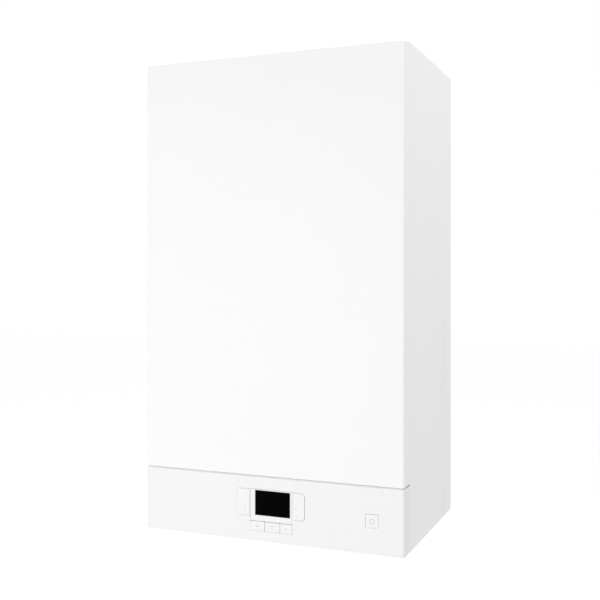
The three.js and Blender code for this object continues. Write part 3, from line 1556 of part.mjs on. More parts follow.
function burner() {
  const group = new THREE.Group();
  const exchangerAxis = [0, exchangerFront, exchangerHeight];
  const fanAxis = [fanX, fanFront, fanHeight];
  group.add(
    piece('heat_exchanger', heatExchanger(), darkPlastic, exchangerAxis),
    piece('burner_door', burnerDoor(), castAluminium, exchangerAxis),
    piece('burner_manifold', burnerManifold(), castAluminium, exchangerAxis),
    piece('ignition_electrode', electrode(-1), ceramic, exchangerAxis),
    piece('flame_electrode', electrode(1), ceramic, exchangerAxis),
    piece('fan_housing', fanHousing(), castAluminium, fanAxis),
    piece('fan_impeller', fanImpeller(), darkPlastic, fanAxis),
    piece('fan_motor', fanMotor(), darkPlastic, fanAxis),
    piece('venturi', venturi(), castAluminium, fanAxis),
    piece('gas_link', gasLink(), copper),
    piece('gas_valve', gasValve(), castAluminium),
    piece('flue_duct', flueDuct(), greyPlastic, [0, -flueFromWall, caseHeight]),
    piece('flue_collar', flueCollar(), darkPlastic, [0, -flueFromWall, caseHeight]),
  );
  return group;
}

function hydraulics() {
  const group = new THREE.Group();
  const pumpAxis = [pumpX, pumpFront, pumpHeight];
  group.add(
    piece('flow_block', flowBlock(), brass, [flowTail.x, tailY, 0]),
    piece('return_block', returnBlock(), brass, [returnTail.x, tailY, 0]),
    piece('plate_exchanger', plateExchanger(), stainless),
    piece('pump_housing', pumpHousing(), castAluminium, pumpAxis),
    piece('pump_impeller', pumpImpeller(), greyPlastic, pumpAxis),
    piece('pump_motor', pumpMotor(), darkPlastic, pumpAxis),
    piece('air_vent', airVent(), brass, [ventX, pumpY, pumpOutletTop]),
    piece('diverter_stem', diverterStem(), stainless, [flowTail.x, tailY, chamberTop]),
    piece('diverter_actuator', diverterActuator(), greyPlastic, [flowTail.x, tailY, chamberTop]),
    piece('relief_valve', reliefValve(), brass, [flowTail.x, reliefSeat, reliefHeight]),
    piece('relief_knob', reliefKnob(), redPlastic, [flowTail.x, reliefKnobRear, reliefHeight]),
    piece('expansion_vessel', expansionVessel(), greyPaint, [nippleX, nippleY, vessel.z[0]]),
    piece('vessel_bracket', vesselBracket(), galvanised),
    piece('vessel_hose', vesselHose(), stainless),
    piece('flow_pipe', flowPipe(), copper),
    piece('return_pipe', returnPipe(), copper),
    piece('gas_pipe', gasPipe(), copper),
    piece('gas_tail', gasTail(), brass),
    piece('condensate_hose', condensateHose(), blackRubber),
    piece('condensate_trap', condensateTrap(), greyPlastic, [trapX, -trapFromWall, 0]),
  );
  return group;
}

const boiler = new THREE.Group();
boiler.add(casing(), controlBox(), burner(), hydraulics());
boiler.position.z = -hangHeight;

export default boiler;
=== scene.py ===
"""A wall-hung combi boiler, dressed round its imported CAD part.

Shapes are drawn in millimetres from the middle of the case's bottom edge at the wall, as in the
part's source, and are put into the row frame, in metres, when a piece is finished.
"""
import json
import math

import bmesh
import bpy
from bpy.props import FloatProperty, FloatVectorProperty, IntProperty
from mathutils import Matrix, Vector

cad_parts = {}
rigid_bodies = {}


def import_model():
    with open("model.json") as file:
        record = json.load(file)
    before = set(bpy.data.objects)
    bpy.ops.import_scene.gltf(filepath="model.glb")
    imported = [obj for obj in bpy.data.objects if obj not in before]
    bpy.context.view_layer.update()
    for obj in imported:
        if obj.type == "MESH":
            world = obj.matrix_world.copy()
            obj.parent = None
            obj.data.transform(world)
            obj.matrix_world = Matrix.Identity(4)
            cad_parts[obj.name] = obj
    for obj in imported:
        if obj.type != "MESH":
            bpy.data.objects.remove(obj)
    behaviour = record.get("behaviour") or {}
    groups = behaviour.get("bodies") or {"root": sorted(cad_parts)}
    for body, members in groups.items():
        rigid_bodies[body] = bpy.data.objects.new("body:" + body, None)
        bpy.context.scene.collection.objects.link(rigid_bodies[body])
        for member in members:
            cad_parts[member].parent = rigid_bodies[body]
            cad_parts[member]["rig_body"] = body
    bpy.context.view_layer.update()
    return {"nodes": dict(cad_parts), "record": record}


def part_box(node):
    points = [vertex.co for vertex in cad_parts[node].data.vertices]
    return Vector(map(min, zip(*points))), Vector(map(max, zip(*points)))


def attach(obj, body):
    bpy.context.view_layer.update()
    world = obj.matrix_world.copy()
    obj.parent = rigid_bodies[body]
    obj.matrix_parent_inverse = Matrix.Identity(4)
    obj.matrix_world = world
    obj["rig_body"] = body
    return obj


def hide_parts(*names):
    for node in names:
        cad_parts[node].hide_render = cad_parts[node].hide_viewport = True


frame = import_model()

bl_info = {
    "name": "Combi boiler looks",
    "version": (1, 0, 0),
    "blender": (4, 5, 0),
    "location": "3D View > Sidebar > Boiler",
    "description": "Casing, control box, burner and water side of a wall-hung combi boiler",
    "category": "Object",
}

HANG = 690.0                # the origin is this far above the case's bottom
BASE = {entry["slot"]: entry["base_color"] for entry in frame["record"]["materials"]}


def span(node):
    """A CAD node's reach along each axis, in millimetres from the case's bottom edge."""
    low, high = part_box(node)
    lift = (0.0, 0.0, HANG)
    return [(low[i] * 1000 + lift[i], high[i] * 1000 + lift[i]) for i in range(3)]


def middle(pair):
    return (pair[0] + pair[1]) / 2


def joint_axis(name):
    """Where a joint's axis crosses the plane of the front, in millimetres."""
    joints = frame["record"]["behaviour"]["joints"]
    x, _, z = next(joint for joint in joints if joint["name"] == name)["pos_m"]
    return (x * 1000, z * 1000 + HANG)


FAN = joint_axis("fan_spin")
PUMP = joint_axis("pump_spin")
EXCHANGER = (0.0, middle(span("burner_door")[2]))
FAN_OUTLET = 18.0           # middle of the fan's outlet
FLOW_X, HOT_X, GAS_X, COLD_X, RETURN_X = -130.0, -65.0, 0.0, 65.0, 130.0    # the five tails
BIG_THREAD, SMALL_THREAD = 13.2, 10.5       # radii of 3/4 inch and 1/2 inch pipe threads
TAILS = ((FLOW_X, BIG_THREAD), (HOT_X, SMALL_THREAD), (GAS_X, BIG_THREAD),
         (COLD_X, SMALL_THREAD), (RETURN_X, BIG_THREAD))
HINGE_INSET = 6.0           # control box's axis from the fascia's rear and bottom
CABINET_TOP = 725.0
FLUE_Y = middle(span("flue_collar")[1])
TAIL_Y = middle(span("gas_tail")[1])
LINK_Y = middle(span("gas_link")[1])
PLATE_FRONT = span("plate_exchanger")[1][0]


# ---- Shader maths ------------------------------------------------------------------------------

class Number:
    """A number at a shader socket, for patterns written as plain sums."""

    def __init__(self, tree, socket):
        self.tree = tree
        self.socket = socket

    def _math(self, operation, *values):
        node = self.tree.nodes.new("ShaderNodeMath")
        node.operation = operation
        for target, value in zip(node.inputs, values):
            if isinstance(value, Number):
                self.tree.links.new(value.socket, target)
            else:
                target.default_value = value
        return Number(self.tree, node.outputs[0])

    def __add__(self, other):
        return self._math("ADD", self, other)

    __radd__ = __add__

    def __sub__(self, other):
        return self._math("SUBTRACT", self, other)

    def __rsub__(self, other):
        return self._math("SUBTRACT", other, self)

    def __mul__(self, other):
        return self._math("MULTIPLY", self, other)

    __rmul__ = __mul__

    def __truediv__(self, other):
        return self._math("DIVIDE", self, other)

    def __gt__(self, other):
        return self._math("GREATER_THAN", self, other)

    def __lt__(self, other):
        return self._math("LESS_THAN", self, other)

    def __abs__(self):
        return self._math("ABSOLUTE", self)

    def root(self):
        return self._math("SQRT", self)

    def sine(self):
        return self._math("SINE", self)

    def wave(self, period):
        """From 0 to 1 and back over each period."""
        return (self * (math.tau / period)).sine() * 0.5 + 0.5

    def larger(self, other):
        return self._math("MAXIMUM", self, other)


class Surface:
    """One finish: a material whose Principled shader gets constants and procedural patterns."""

    def __init__(self, name, colour, roughness, metallic=0.0, coat=0.0, specular=0.5):
        self.material = bpy.data.materials.new(name)
        self.material.use_nodes = True
        self.tree = self.material.node_tree
        self.shader = self.tree.nodes["Principled BSDF"]
        self.colour = (*colour, 1.0)
        self.roughness = roughness
        self.set(**{"Base Color": self.colour, "Roughness": roughness, "Metallic": metallic,
                    "Coat Weight": coat, "Specular IOR Level": specular})
        self.coordinates = self.add("ShaderNodeTexCoord").outputs["Object"]

    def feed(self, target, value):
        """Gives a socket a value, or links it to a pattern."""
        if isinstance(value, Number):
            value = value.socket
        if isinstance(value, bpy.types.NodeSocket):
            self.tree.links.new(value, target)
        else:
            target.default_value = value

    def set(self, **values):
        for name, value in values.items():
            self.feed(self.shader.inputs[name], value)
        return self

    def add(self, kind, **values):
        """Adds a node and sets or links its sockets by name; _0 stands for socket 0."""
        node = self.tree.nodes.new(kind)
        for name, value in values.items():
            self.feed(node.inputs[int(name[1:])] if name[0] == "_" else node.inputs[name], value)
        return node

    def noise(self, scale, detail=3.0):
        node = self.add("ShaderNodeTexNoise", Vector=self.coordinates, Scale=scale, Detail=detail)
        return Number(self.tree, node.outputs["Fac"])

    def cells(self, scale):
        """Flat cells, each with a number of its own."""
        node = self.add("ShaderNodeTexVoronoi", Vector=self.coordinates, Scale=scale)
        split = self.add("ShaderNodeSeparateColor", _0=node.outputs["Color"])
        return Number(self.tree, split.outputs[0])

    def place(self):
        """Object coordinates in millimetres from the case's bottom edge at the wall."""
        split = self.add("ShaderNodeSeparateXYZ", _0=self.coordinates)
        x, y, z = (Number(self.tree, socket) for socket in split.outputs)
        return x * 1000.0, y * 1000.0, z * 1000.0 + HANG

    def mixed(self, share, first, second):
        """A colour between two others."""
        node = self.tree.nodes.new("ShaderNodeMix")
        node.data_type = "RGBA"
        for index, value in ((0, share), (6, first), (7, second)):
            self.feed(node.inputs[index], value)
        return node.outputs[2]

    def shaded(self, amount, share):
        """The base colour, darkened and lightened by a pattern."""
        low = tuple(c * (1.0 - amount) for c in self.colour[:3]) + (1.0,)
        high = tuple(min(c * (1.0 + amount), 1.0) for c in self.colour[:3]) + (1.0,)
        return self.set(**{"Base Color": self.mixed(share, low, high)})

    def rough(self, amount, share):
        return self.set(Roughness=share * (2.0 * amount) + (self.roughness - amount))

    def bumped(self, height, strength, distance):
        node = self.add("ShaderNodeBump", Height=height, Strength=strength, Distance=distance)
        return self.set(Normal=node.outputs["Normal"])


def white_powder_coat(name, colour):
    """Satin powder coat: faint orange peel and the slightest cloud in its tone."""
    paint = Surface(name, colour, 0.42, coat=0.08)
    peel = paint.noise(650.0, 2.0) * 0.7 + paint.noise(1900.0, 1.0) * 0.3
    cloud = paint.noise(4.0, 2.0)
    paint.shaded(0.006, cloud).rough(0.05, paint.noise(60.0))
    return paint.bumped(peel, 0.12, 0.0002).material


def spark_texture(surface, strength=0.25):
    """The fine eroded grain of a moulding tool."""
    grain = surface.noise(2600.0, 2.0) * 0.6 + surface.noise(900.0, 2.0) * 0.4
    return surface.bumped(grain, strength, 0.00012)


def moulded_plastic(name, colour, roughness, grain=0.25, tone=0.03):
    plastic = Surface(name, colour, roughness)
    plastic.shaded(tone, plastic.noise(18.0, 3.0)).rough(0.06, plastic.noise(150.0))
    return spark_texture(plastic, grain).material


def inside(value, half):
    return abs(value) < half


def printed(surface, mask, ink):
    """Prints marks in an ink colour over the surface's own colour."""
    surface.set(**{"Base Color": surface.mixed(mask, surface.colour, (*ink, 1.0))})


def bar_mark(x, z, at, size):
    return inside(x - at[0], size[0] / 2) * inside(z - at[1], size[1] / 2)


def ring_mark(x, z, at, radius, width):
    reach = ((x - at[0]) * (x - at[0]) + (z - at[1]) * (z - at[1])).root()
    return inside(reach - radius, width / 2)


def arrow_mark(x, z, at, size, up):
    """A small triangle that points up (1) or down (-1)."""
    rise = (z - at[1]) * up
    return inside(rise, size / 2) * (abs(x - at[0]) < (size / 2 - rise) * 0.62)


def key_plastic(name, colour, ink, marks):
    """White key plastic with its printed marks, which are sums on the key's own coordinates."""
    key = Surface(name, colour, 0.4)
    spark_texture(key, 0.16)
    x, _, z = key.place()
    printed(key, marks(x, z), ink)
    return key.material


def rocker_marks(middle, low, high, sign):
    def marks(x, z):
        up = arrow_mark(x, z, (middle, high - 6.0), 2.6, 1)
        down = arrow_mark(x, z, (middle, low + 5.0), 2.6, -1)
        return up.larger(down) * 0.3 + sign(x, z) * 0.5
    return marks


def tap_sign(middle, height):
    def sign(x, z):
        body = bar_mark(x, z, (middle - 0.6, height + 1.2), (4.2, 0.8))
        spout = bar_mark(x, z, (middle + 1.6, height + 0.4), (0.8, 1.8))
        stem = bar_mark(x, z, (middle - 0.9, height + 2.1), (0.8, 1.2))
        drop = ring_mark(x, z, (middle + 1.6, height - 1.7), 0.3, 0.7)
        return body.larger(spout).larger(stem).larger(drop)
    return sign


def radiator_sign(middle, height):
    def sign(x, z):
        fins = bar_mark(x, z, (middle - 1.8, height), (0.7, 3.6))
        for step in (-0.6, 0.6, 1.8):
            fins = fins.larger(bar_mark(x, z, (middle + step, height), (0.7, 3.6)))
        return fins.larger(bar_mark(x, z, (middle, height + 1.0), (4.6, 0.5)))
    return sign


def satin_metal(name, colour, roughness, cast=0.0, spread=0.08):
    """Bare metal, with the grain of a casting where cast is above 0."""
    metal = Surface(name, colour, roughness, metallic=1.0)
    metal.shaded(spread, metal.noise(25.0, 4.0)).rough(0.08, metal.noise(220.0))
    grain = metal.noise(1500.0 if cast else 5000.0, 3.0)
    return metal.bumped(grain, max(cast, 0.08), 0.00015).material


def galvanised_sheet(name, colour):
    """Zinc spangle: flat crystals, each with its own tone."""
    zinc = Surface(name, colour, 0.42, metallic=1.0)
    crystals = zinc.cells(140.0)
    zinc.shaded(0.09, crystals).rough(0.09, zinc.cells(140.0) * 0.6 + zinc.noise(300.0) * 0.4)
    return zinc.bumped(crystals, 0.04, 0.0002).material


def drawn_copper(name, colour):
    """Copper pipe, with darker tarnished patches."""
    copper = Surface(name, colour, 0.3, metallic=1.0)
    patches = copper.noise(35.0, 5.0)
    dull = (colour[0] * 0.62, colour[1] * 0.5, colour[2] * 0.42, 1.0)
    copper.set(**{"Base Color": copper.mixed(patches * patches, copper.colour, dull)})
    copper.rough(0.12, patches)
    return copper.bumped(copper.noise(900.0), 0.05, 0.0001).material


def circuit_board(name, colour):
    """Green lacquer over copper tracks."""
    board = Surface(name, colour, 0.35, coat=0.3)
    x, _, z = board.place()
    tracks = (x.wave(2.54) > 0.82).larger(z.wave(3.81) > 0.86) * (board.cells(95.0) > 0.45)
    light = tuple(min(c * 2.1 + 0.01, 1.0) for c in colour) + (1.0,)
    board.set(**{"Base Color": board.mixed(tracks, board.colour, light)})
    return board.bumped(tracks, 0.3, 0.00005).material


def braided_steel(name, colour):
    """Crossing wires of a hose's steel braid, with painted shade that darkens the weave everywhere
    but at the wire crossings.
    """
    braid = Surface(name, colour, 0.3, metallic=1.0)
    x, y, z = braid.place()
    run = z - y * 1.0
    over = (run + x * 1.6).wave(2.2) * (run - x * 1.6).wave(2.2)
    # painted shade: the braid darkens between and beside the wire crossings, where the weave dips
    dark = tuple(c * 0.35 for c in colour) + (1.0,)
    braid.set(**{"Base Color": braid.mixed(over, dark, braid.colour)})
    return braid.bumped(over, 0.8, 0.0006).material


def display_glass(name, colour):
    """Black display window with an anti-glare face, and its dark panel a shade off the border."""
    glass = Surface(name, tuple(c * 0.08 for c in colour), 0.4, specular=0.012)
    x, _, z = glass.place()
    panel = inside(x - 7.0, 24.5) * inside(z - 56.5, 15.2)
    glass.set(**{"Base Color": glass.mixed(panel, glass.colour, (0.0004, 0.0004, 0.0005, 1.0))})
    return glass.rough(0.05, glass.noise(40.0)).material


# ---- Closed shapes -----------------------------------------------------------------------------

AXES = {
    "x": lambda u, v, w: (w, u, v),
    "y": lambda u, v, w: (u, w, v),
    "z": lambda u, v, w: (u, v, w),
}


def soften(points, radius, steps=4, closed=True):
    """Rounds the corners of an outline; radius is one number, or one for each corner."""
    result = []
    count = len(points)
    for index, point in enumerate(points):
        size = radius[index] if isinstance(radius, (list, tuple)) else radius
        corner = Vector(point)
        before = Vector(points[index - 1]) - corner
        after = Vector(points[(index + 1) % count]) - corner
        at_end = not closed and index in (0, count - 1)
        if size <= 0 or at_end or before.length < 1e-6 or after.length < 1e-6:
            result.append(tuple(point))
            continue
        half = before.angle(after) / 2
        if half > math.pi / 2 - 0.05 or half < 0.05:
            result.append(tuple(point))
            continue
        trim = min(size / math.tan(half), 0.48 * before.length, 0.48 * after.length)
        size = trim * math.tan(half)
        inward = (before.normalized() + after.normalized()).normalized()
        centre = corner + inward * (size / math.sin(half))
        start = corner + before.normalized() * trim - centre
        stop = corner + after.normalized() * trim - centre
        first = math.atan2(start.y, start.x)
        turn = (math.atan2(stop.y, stop.x) - first + math.pi) % math.tau - math.pi
        for step in range(steps + 1):
            angle = first + turn * step / steps
            result.append((centre.x + math.cos(angle) * size, centre.y + math.sin(angle) * size))
    return result


def oblong(u, v, radius, steps=6):
    """A rectangle with round corners."""
    return soften([(u[0], v[0]), (u[1], v[0]), (u[1], v[1]), (u[0], v[1])], radius, steps)


def arc(centre, radius, first, last, steps):
    return [
        (centre[0] + math.cos(first + (last - first) * i / steps) * radius,
         centre[1] + math.sin(first + (last - first) * i / steps) * radius)
        for i in range(steps + 1)
    ]


def hexagon(centre, across):
    """A hexagon from its width across the flats."""
    return [polar(centre, across / math.sqrt(3.0), i * math.pi / 3) for i in range(6)]


def offset(outline, inset):
    """The outline moved inwards by the inset, with mitred corners."""
    count = len(outline)
    area = sum(outline[i - 1][0] * outline[i][1] - outline[i][0] * outline[i - 1][1]
               for i in range(count))
    side = 1.0 if area > 0 else -1.0
    result = []
    for i in range(count):
        here = Vector(outline[i])
        first = (here - Vector(outline[i - 1])).normalized()
        second = (Vector(outline[(i + 1) % count]) - here).normalized()
        one = Vector((-first.y, first.x)) * side
        two = Vector((-second.y, second.x)) * side
        move = (one + two) / max(1.0 + one.dot(two), 0.3)
        result.append(tuple(here + move * inset))
    return result


def skin(rings, closed=False):
    """A closed shape through rings of points; a ring of one point is a pole."""
    shape = bmesh.new()
    made = [[shape.verts.new(point) for point in ring] for ring in rings]
    pairs = list(zip(made, made[1:] + made[:1])) if closed else list(zip(made, made[1:]))
    for near, far in pairs:
        count = max(len(near), len(far))
        for i in range(count):
            corners = [near[i % len(near)], near[(i + 1) % len(near)], far[(i + 1) % len(far)],
                       far[i % len(far)]]
            shape.faces.new(list(dict.fromkeys(corners)))
    if not closed:
        for ring in (made[0], made[-1]):
            if len(ring) > 2:
                shape.faces.new(ring)
    bmesh.ops.recalc_face_normals(shape, faces=shape.faces)
    return shape


def turned(profile, axis, at, rounding=0.0, sides=64, steps=3):
    """Turns pairs of radius and place about an axis through a point."""
    ring_shaped = all(radius > 1e-6 for radius, _ in profile)
    line = soften(profile, rounding, steps, closed=ring_shaped)
    rings = []
    for radius, place in line:
        count = sides if radius > 1e-6 else 1
        ring = []
        for i in range(count):
            angle = math.tau * i / sides
            point = AXES[axis](math.cos(angle) * radius, math.sin(angle) * radius, place)
            ring.append(tuple(a + b for a, b in zip(point, at)))
        rings.append(ring)
    return skin(rings, closed=ring_shaped)


def rod(axis, at, ends, radius, edge=0.4, sides=48):
    """A round bar along an axis."""
    edge = min(edge, radius * 0.4, abs(ends[1] - ends[0]) * 0.4)
    return turned([(0, ends[0]), (radius, ends[0]), (radius, ends[1]), (0, ends[1])], axis, at,
                  edge, sides, 2)


def pressed(outline, axis, ends, edge=0.0, steps=2):
    """An outline pushed out along an axis, with round rims."""
    start, end = ends
    if start > end:
        start, end = end, start
    levels = []
    for k in range(steps + 1 if edge > 0 else 1):
        angle = math.pi / 2 * k / steps if edge > 0 else math.pi / 2
        levels.append((edge * (1 - math.sin(angle)), edge * (1 - math.cos(angle))))
    rings = [(inset, start + rise) for inset, rise in levels]
    rings += [(inset, end - rise) for inset, rise in reversed(levels)]
    return skin([[AXES[axis](u, v, w) for u, v in offset(outline, inset)] for inset, w in rings])


def block(x, y, z, edge=0.5, steps=2):
    """A box with round edges."""
    shape = bmesh.new()
    bmesh.ops.create_cube(shape, size=1.0)
    for vert in shape.verts:
        vert.co = [middle(pair) + c * abs(pair[1] - pair[0]) for pair, c in zip((x, y, z), vert.co)]
    if edge > 0:
        bmesh.ops.bevel(shape, geom=shape.edges[:], offset=edge, segments=steps, profile=0.5,
                        affect="EDGES", clamp_overlap=True)
    bmesh.ops.recalc_face_normals(shape, faces=shape.faces)
    return shape


def piped(corners, radius, bend, sides=32, steps=10):
    """A round bar that runs through the corners with round bends."""
    corners = [Vector(c) for c in corners]
    stations = [(corners[0], (corners[1] - corners[0]).normalized())]
    for before, corner, after in zip(corners, corners[1:], corners[2:]):
        back = (before - corner).normalized()
        ahead = (after - corner).normalized()
        half = back.angle(ahead) / 2
        centre = corner + (back + ahead).normalized() * (bend / math.sin(half))
        start = corner + back * (bend / math.tan(half)) - centre
        stop = corner + ahead * (bend / math.tan(half)) - centre
        hinge = start.cross(stop).normalized()
        sweep = start.angle(stop)
        for i in range(steps + 1):
            arm = Matrix.Rotation(sweep * i / steps, 3, hinge) @ start
            stations.append((centre + arm, hinge.cross(arm).normalized()))
    stations.append((corners[-1], (corners[-1] - corners[-2]).normalized()))
    side = stations[0][1].orthogonal().normalized()
    rings = []
    heading = stations[0][1]
    for point, along in stations:
        side = heading.rotation_difference(along) @ side
        heading = along
        other = along.cross(side)
        rings.append([tuple(point + (side * math.cos(a) + other * math.sin(a)) * radius)
                      for a in (math.tau * i / sides for i in range(sides))])
    return skin(rings)


def scratch(shape):
    """An object that holds a shape for a moment; the shape may be a mesh already."""
    if isinstance(shape, bmesh.types.BMesh):
        mesh = bpy.data.meshes.new("shape")
        shape.to_mesh(mesh)
        shape.free()
    else:
        mesh = shape
    held = bpy.data.objects.new("shape", mesh)
    bpy.context.scene.collection.objects.link(held)
    return held


def settled(held):
    """The plain mesh of an object with its modifiers, after which the object is gone."""
    graph = bpy.context.evaluated_depsgraph_get()
    mesh = bpy.data.meshes.new_from_object(held.evaluated_get(graph))
    bpy.data.objects.remove(held)
    return mesh


def fused(shapes, cuts=()):
    """Closed shapes joined into one skin, with other closed shapes cut away."""
    whole = scratch(shapes[0])
    tools = [(scratch(shape), "UNION") for shape in shapes[1:]]
    tools += [(scratch(shape), "DIFFERENCE") for shape in cuts]
    for tool, operation in tools:
        step = whole.modifiers.new("join", "BOOLEAN")
        step.solver = "MANIFOLD"
        step.operation = operation
        step.object = tool
    mesh = settled(whole)
    for tool, _ in tools:
        bpy.data.objects.remove(tool)
    return mesh


def nut(axis, at, ends, across):
    """A hexagon nut with chamfered corners, before its bore is cut."""
    flat = {"x": (at[1], at[2]), "y": (at[0], at[2]), "z": (at[0], at[1])}[axis]
    low, high = min(ends), max(ends)
    prism = pressed(hexagon(flat, across), axis, (low, high))
    reach = across / math.sqrt(3.0)
    cut = min((reach - across / 2) * 0.55, (high - low) * 0.3)
    disc = turned([(0, low), (across / 2 - 0.1, low), (reach + 0.05, low + cut),
                   (reach + 0.05, high - cut),
                   (across / 2 - 0.1, high), (0, high)], axis, upon(axis, at), 0, 48)
    return common(prism, disc)


def upon(axis, at):
    """The point with its place along the axis taken away, for a shape turned about that axis."""
    return tuple(0.0 if "xyz"[i] == axis else at[i] for i in range(3))


def common(first, second):
    """What two closed shapes share."""
    whole, tool = scratch(first), scratch(second)
    step = whole.modifiers.new("share", "BOOLEAN")
    step.solver = "MANIFOLD"
    step.operation = "INTERSECT"
    step.object = tool
    mesh = settled(whole)
    bpy.data.objects.remove(tool)
    return mesh


def polar(centre, radius, angle):
    return (centre[0] + math.cos(angle) * radius, centre[1] + math.sin(angle) * radius)


def sheeted(shape, thickness):
    """A surface given a wall of sheet metal on its inner side."""
    held = scratch(shape)
    wall = held.modifiers.new("wall", "SOLIDIFY")
    wall.thickness = thickness
    wall.offset = -1.0
    wall.use_even_offset = True
    return settled(held)


def piece(name, mesh, material, nodes, crease=32.0, body=None):
    """Finishes a mesh in the row frame as a piece that stands for CAD nodes."""
    if isinstance(mesh, bmesh.types.BMesh):
        shape = mesh
    else:
        shape = bmesh.new()
        shape.from_mesh(mesh)
    limit = math.radians(crease)
    for face in shape.faces:
        face.smooth = True
    for edge in shape.edges:
        edge.smooth = len(edge.link_faces) == 2 and edge.calc_face_angle(0.0) < limit
    mesh = bpy.data.meshes.new(name)
    shape.to_mesh(mesh)
    shape.free()
    mesh.transform(Matrix.Translation((0, 0, -HANG / 1000)) @ Matrix.Scale(0.001, 4))
    held = bpy.data.objects.new(name, mesh)
    bpy.context.scene.collection.objects.link(held)
    normals = held.modifiers.new("normals", "WEIGHTED_NORMAL")
    normals.keep_sharp = True
    finished = settled(held)
    finished.name = name
    finished.materials.clear()
    finished.materials.append(material)
    made = bpy.data.objects.new(name, finished)
    bpy.context.scene.collection.objects.link(made)
    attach(made, body or frame["nodes"][nodes[0]]["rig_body"])
    if body is None:
        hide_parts(*nodes)
    return made


def dress(nodes, material):
    """Gives CAD nodes that stay in view their finish."""
    for name in nodes:
        held = frame["nodes"][name]
        held.data.materials.clear()
        held.data.materials.append(material)


# ---- Geometry Nodes ----------------------------------------------------------------------------

def new_tree(name, inputs):
    """A geometry tree with named inputs: (name, socket type, default)."""
    tree = bpy.data.node_groups.new(name, "GeometryNodeTree")
    tree.interface.new_socket("Geometry", in_out="INPUT", socket_type="NodeSocketGeometry")
    for label, kind, default in inputs:
        socket = tree.interface.new_socket(label, in_out="INPUT", socket_type=kind)
        if default is not None:
            socket.default_value = default
    tree.interface.new_socket("Geometry", in_out="OUTPUT", socket_type="NodeSocketGeometry")
    return tree, tree.nodes.new("NodeGroupInput"), tree.nodes.new("NodeGroupOutput")


def linked(tree, kind, **values):
    """Adds a node and sets or links its sockets by name; _0 stands for socket 0."""
    node = tree.nodes.new(kind)
    for name, value in values.items():
        target = node.inputs[int(name[1:])] if name[0] == "_" else node.inputs[name.replace("_",
                                                                                            " ")]
        if isinstance(value, bpy.types.NodeSocket):
            tree.links.new(value, target)
        else:
            target.default_value = value
    return node


def reckoned(tree, operation, first, second):
    """The socket of a sum on two sockets or numbers."""
    node = linked(tree, "ShaderNodeMath", _0=first, _1=second)
    node.operation = operation
    return node.outputs[0]


def ended(tree, given, result, geometry):
    """Ends a tree: its copies made real, with the material that it is given."""
    real = linked(tree, "GeometryNodeRealizeInstances", _0=geometry)
    coloured = linked(tree, "GeometryNodeSetMaterial", _0=real.outputs[0],
                      Material=given.outputs["Material"])
    tree.links.new(coloured.outputs[0], result.inputs[0])
    return tree


def ring_tree():
    """Copies of one shape set round an axis, each turned with its place."""
    tree, given, result = new_tree("ring of copies", (
        ("Shape", "NodeSocketObject", None),
        ("Count", "NodeSocketInt", 6),
        ("Material", "NodeSocketMaterial", None),
    ))
    line = linked(tree, "GeometryNodeMeshLine", Count=given.outputs["Count"], Offset=(0, 0, 0))
    index = tree.nodes.new("GeometryNodeInputIndex")
    share = reckoned(tree, "DIVIDE", index.outputs[0], given.outputs["Count"])
    spin = linked(tree, "ShaderNodeCombineXYZ", _2=reckoned(tree, "MULTIPLY", share, -math.tau))
    source = linked(tree, "GeometryNodeObjectInfo", Object=given.outputs["Shape"])
    copies = linked(tree, "GeometryNodeInstanceOnPoints", Points=line.outputs[0],
                    Instance=source.outputs["Geometry"], Rotation=spin.outputs[0])
    return ended(tree, given, result, copies.outputs[0])


def scatter_tree():
    """Copies of one shape at the points of the modified mesh, as with a row of screws."""
    tree, given, result = new_tree("copies at points", (
        ("Shape", "NodeSocketObject", None),
        ("Turn", "NodeSocketVector", (0, 0, 0)),
        ("Material", "NodeSocketMaterial", None),
    ))
    source = linked(tree, "GeometryNodeObjectInfo", Object=given.outputs["Shape"])
    copies = linked(tree, "GeometryNodeInstanceOnPoints", Points=given.outputs[0],
                    Instance=source.outputs["Geometry"], Rotation=given.outputs["Turn"])
    return ended(tree, given, result, copies.outputs[0])


def thread_tree():
    """A screw thread's ridge: a spiral with a pointed section."""
    tree, given, result = new_tree("thread ridge", (
        ("Radius", "NodeSocketFloat", 10.0),
        ("Pitch", "NodeSocketFloat", 1.8),
        ("Turns", "NodeSocketFloat", 10.0),
        ("Depth", "NodeSocketFloat", 1.0),
        ("Material", "NodeSocketMaterial", None),
    ))
    height = reckoned(tree, "MULTIPLY", given.outputs["Pitch"], given.outputs["Turns"])
    spiral = linked(tree, "GeometryNodeCurveSpiral", Resolution=40,
                    Rotations=given.outputs["Turns"],
                    Start_Radius=given.outputs["Radius"], End_Radius=given.outputs["Radius"],
                    Height=height)
    upright = linked(tree, "GeometryNodeSetCurveNormal", Curve=spiral.outputs[0])
    upright.mode = "Z_UP"
    section = tree.nodes.new("GeometryNodeCurvePrimitiveCircle")
    section.inputs["Resolution"].default_value = 4
    tree.links.new(given.outputs["Depth"], section.inputs["Radius"])
    swept = linked(tree, "GeometryNodeCurveToMesh", Curve=upright.outputs[0],
                   Profile_Curve=section.outputs[0],
                   Fill_Caps=True)
    return ended(tree, given, result, swept.outputs[0])


def grown(tree, start=None, **values):
    """The plain mesh that a geometry tree makes, in millimetres."""
    held = scratch(start if start is not None else bpy.data.meshes.new("start"))
    growth = held.modifiers.new("growth", "NODES")
    growth.node_group = tree
    for item in tree.interface.items_tree:
        if item.in_out == "INPUT" and item.name in values:
            growth[item.identifier] = values[item.name]
    held.update_tag()
    return settled(held)


def ring_of(shape, count, axis, at):
    """Copies of a shape, drawn about the Z axis, set round an axis through a point."""
    source = scratch(shape)
    mesh = grown(TREES["ring"], Shape=source, Count=count)
    bpy.data.objects.remove(source)
    turn = {"z": Matrix.Identity(4), "y": Matrix.Rotation(math.pi / 2, 4, "X")}[axis]
    mesh.transform(Matrix.Translation(at) @ turn)
    return mesh


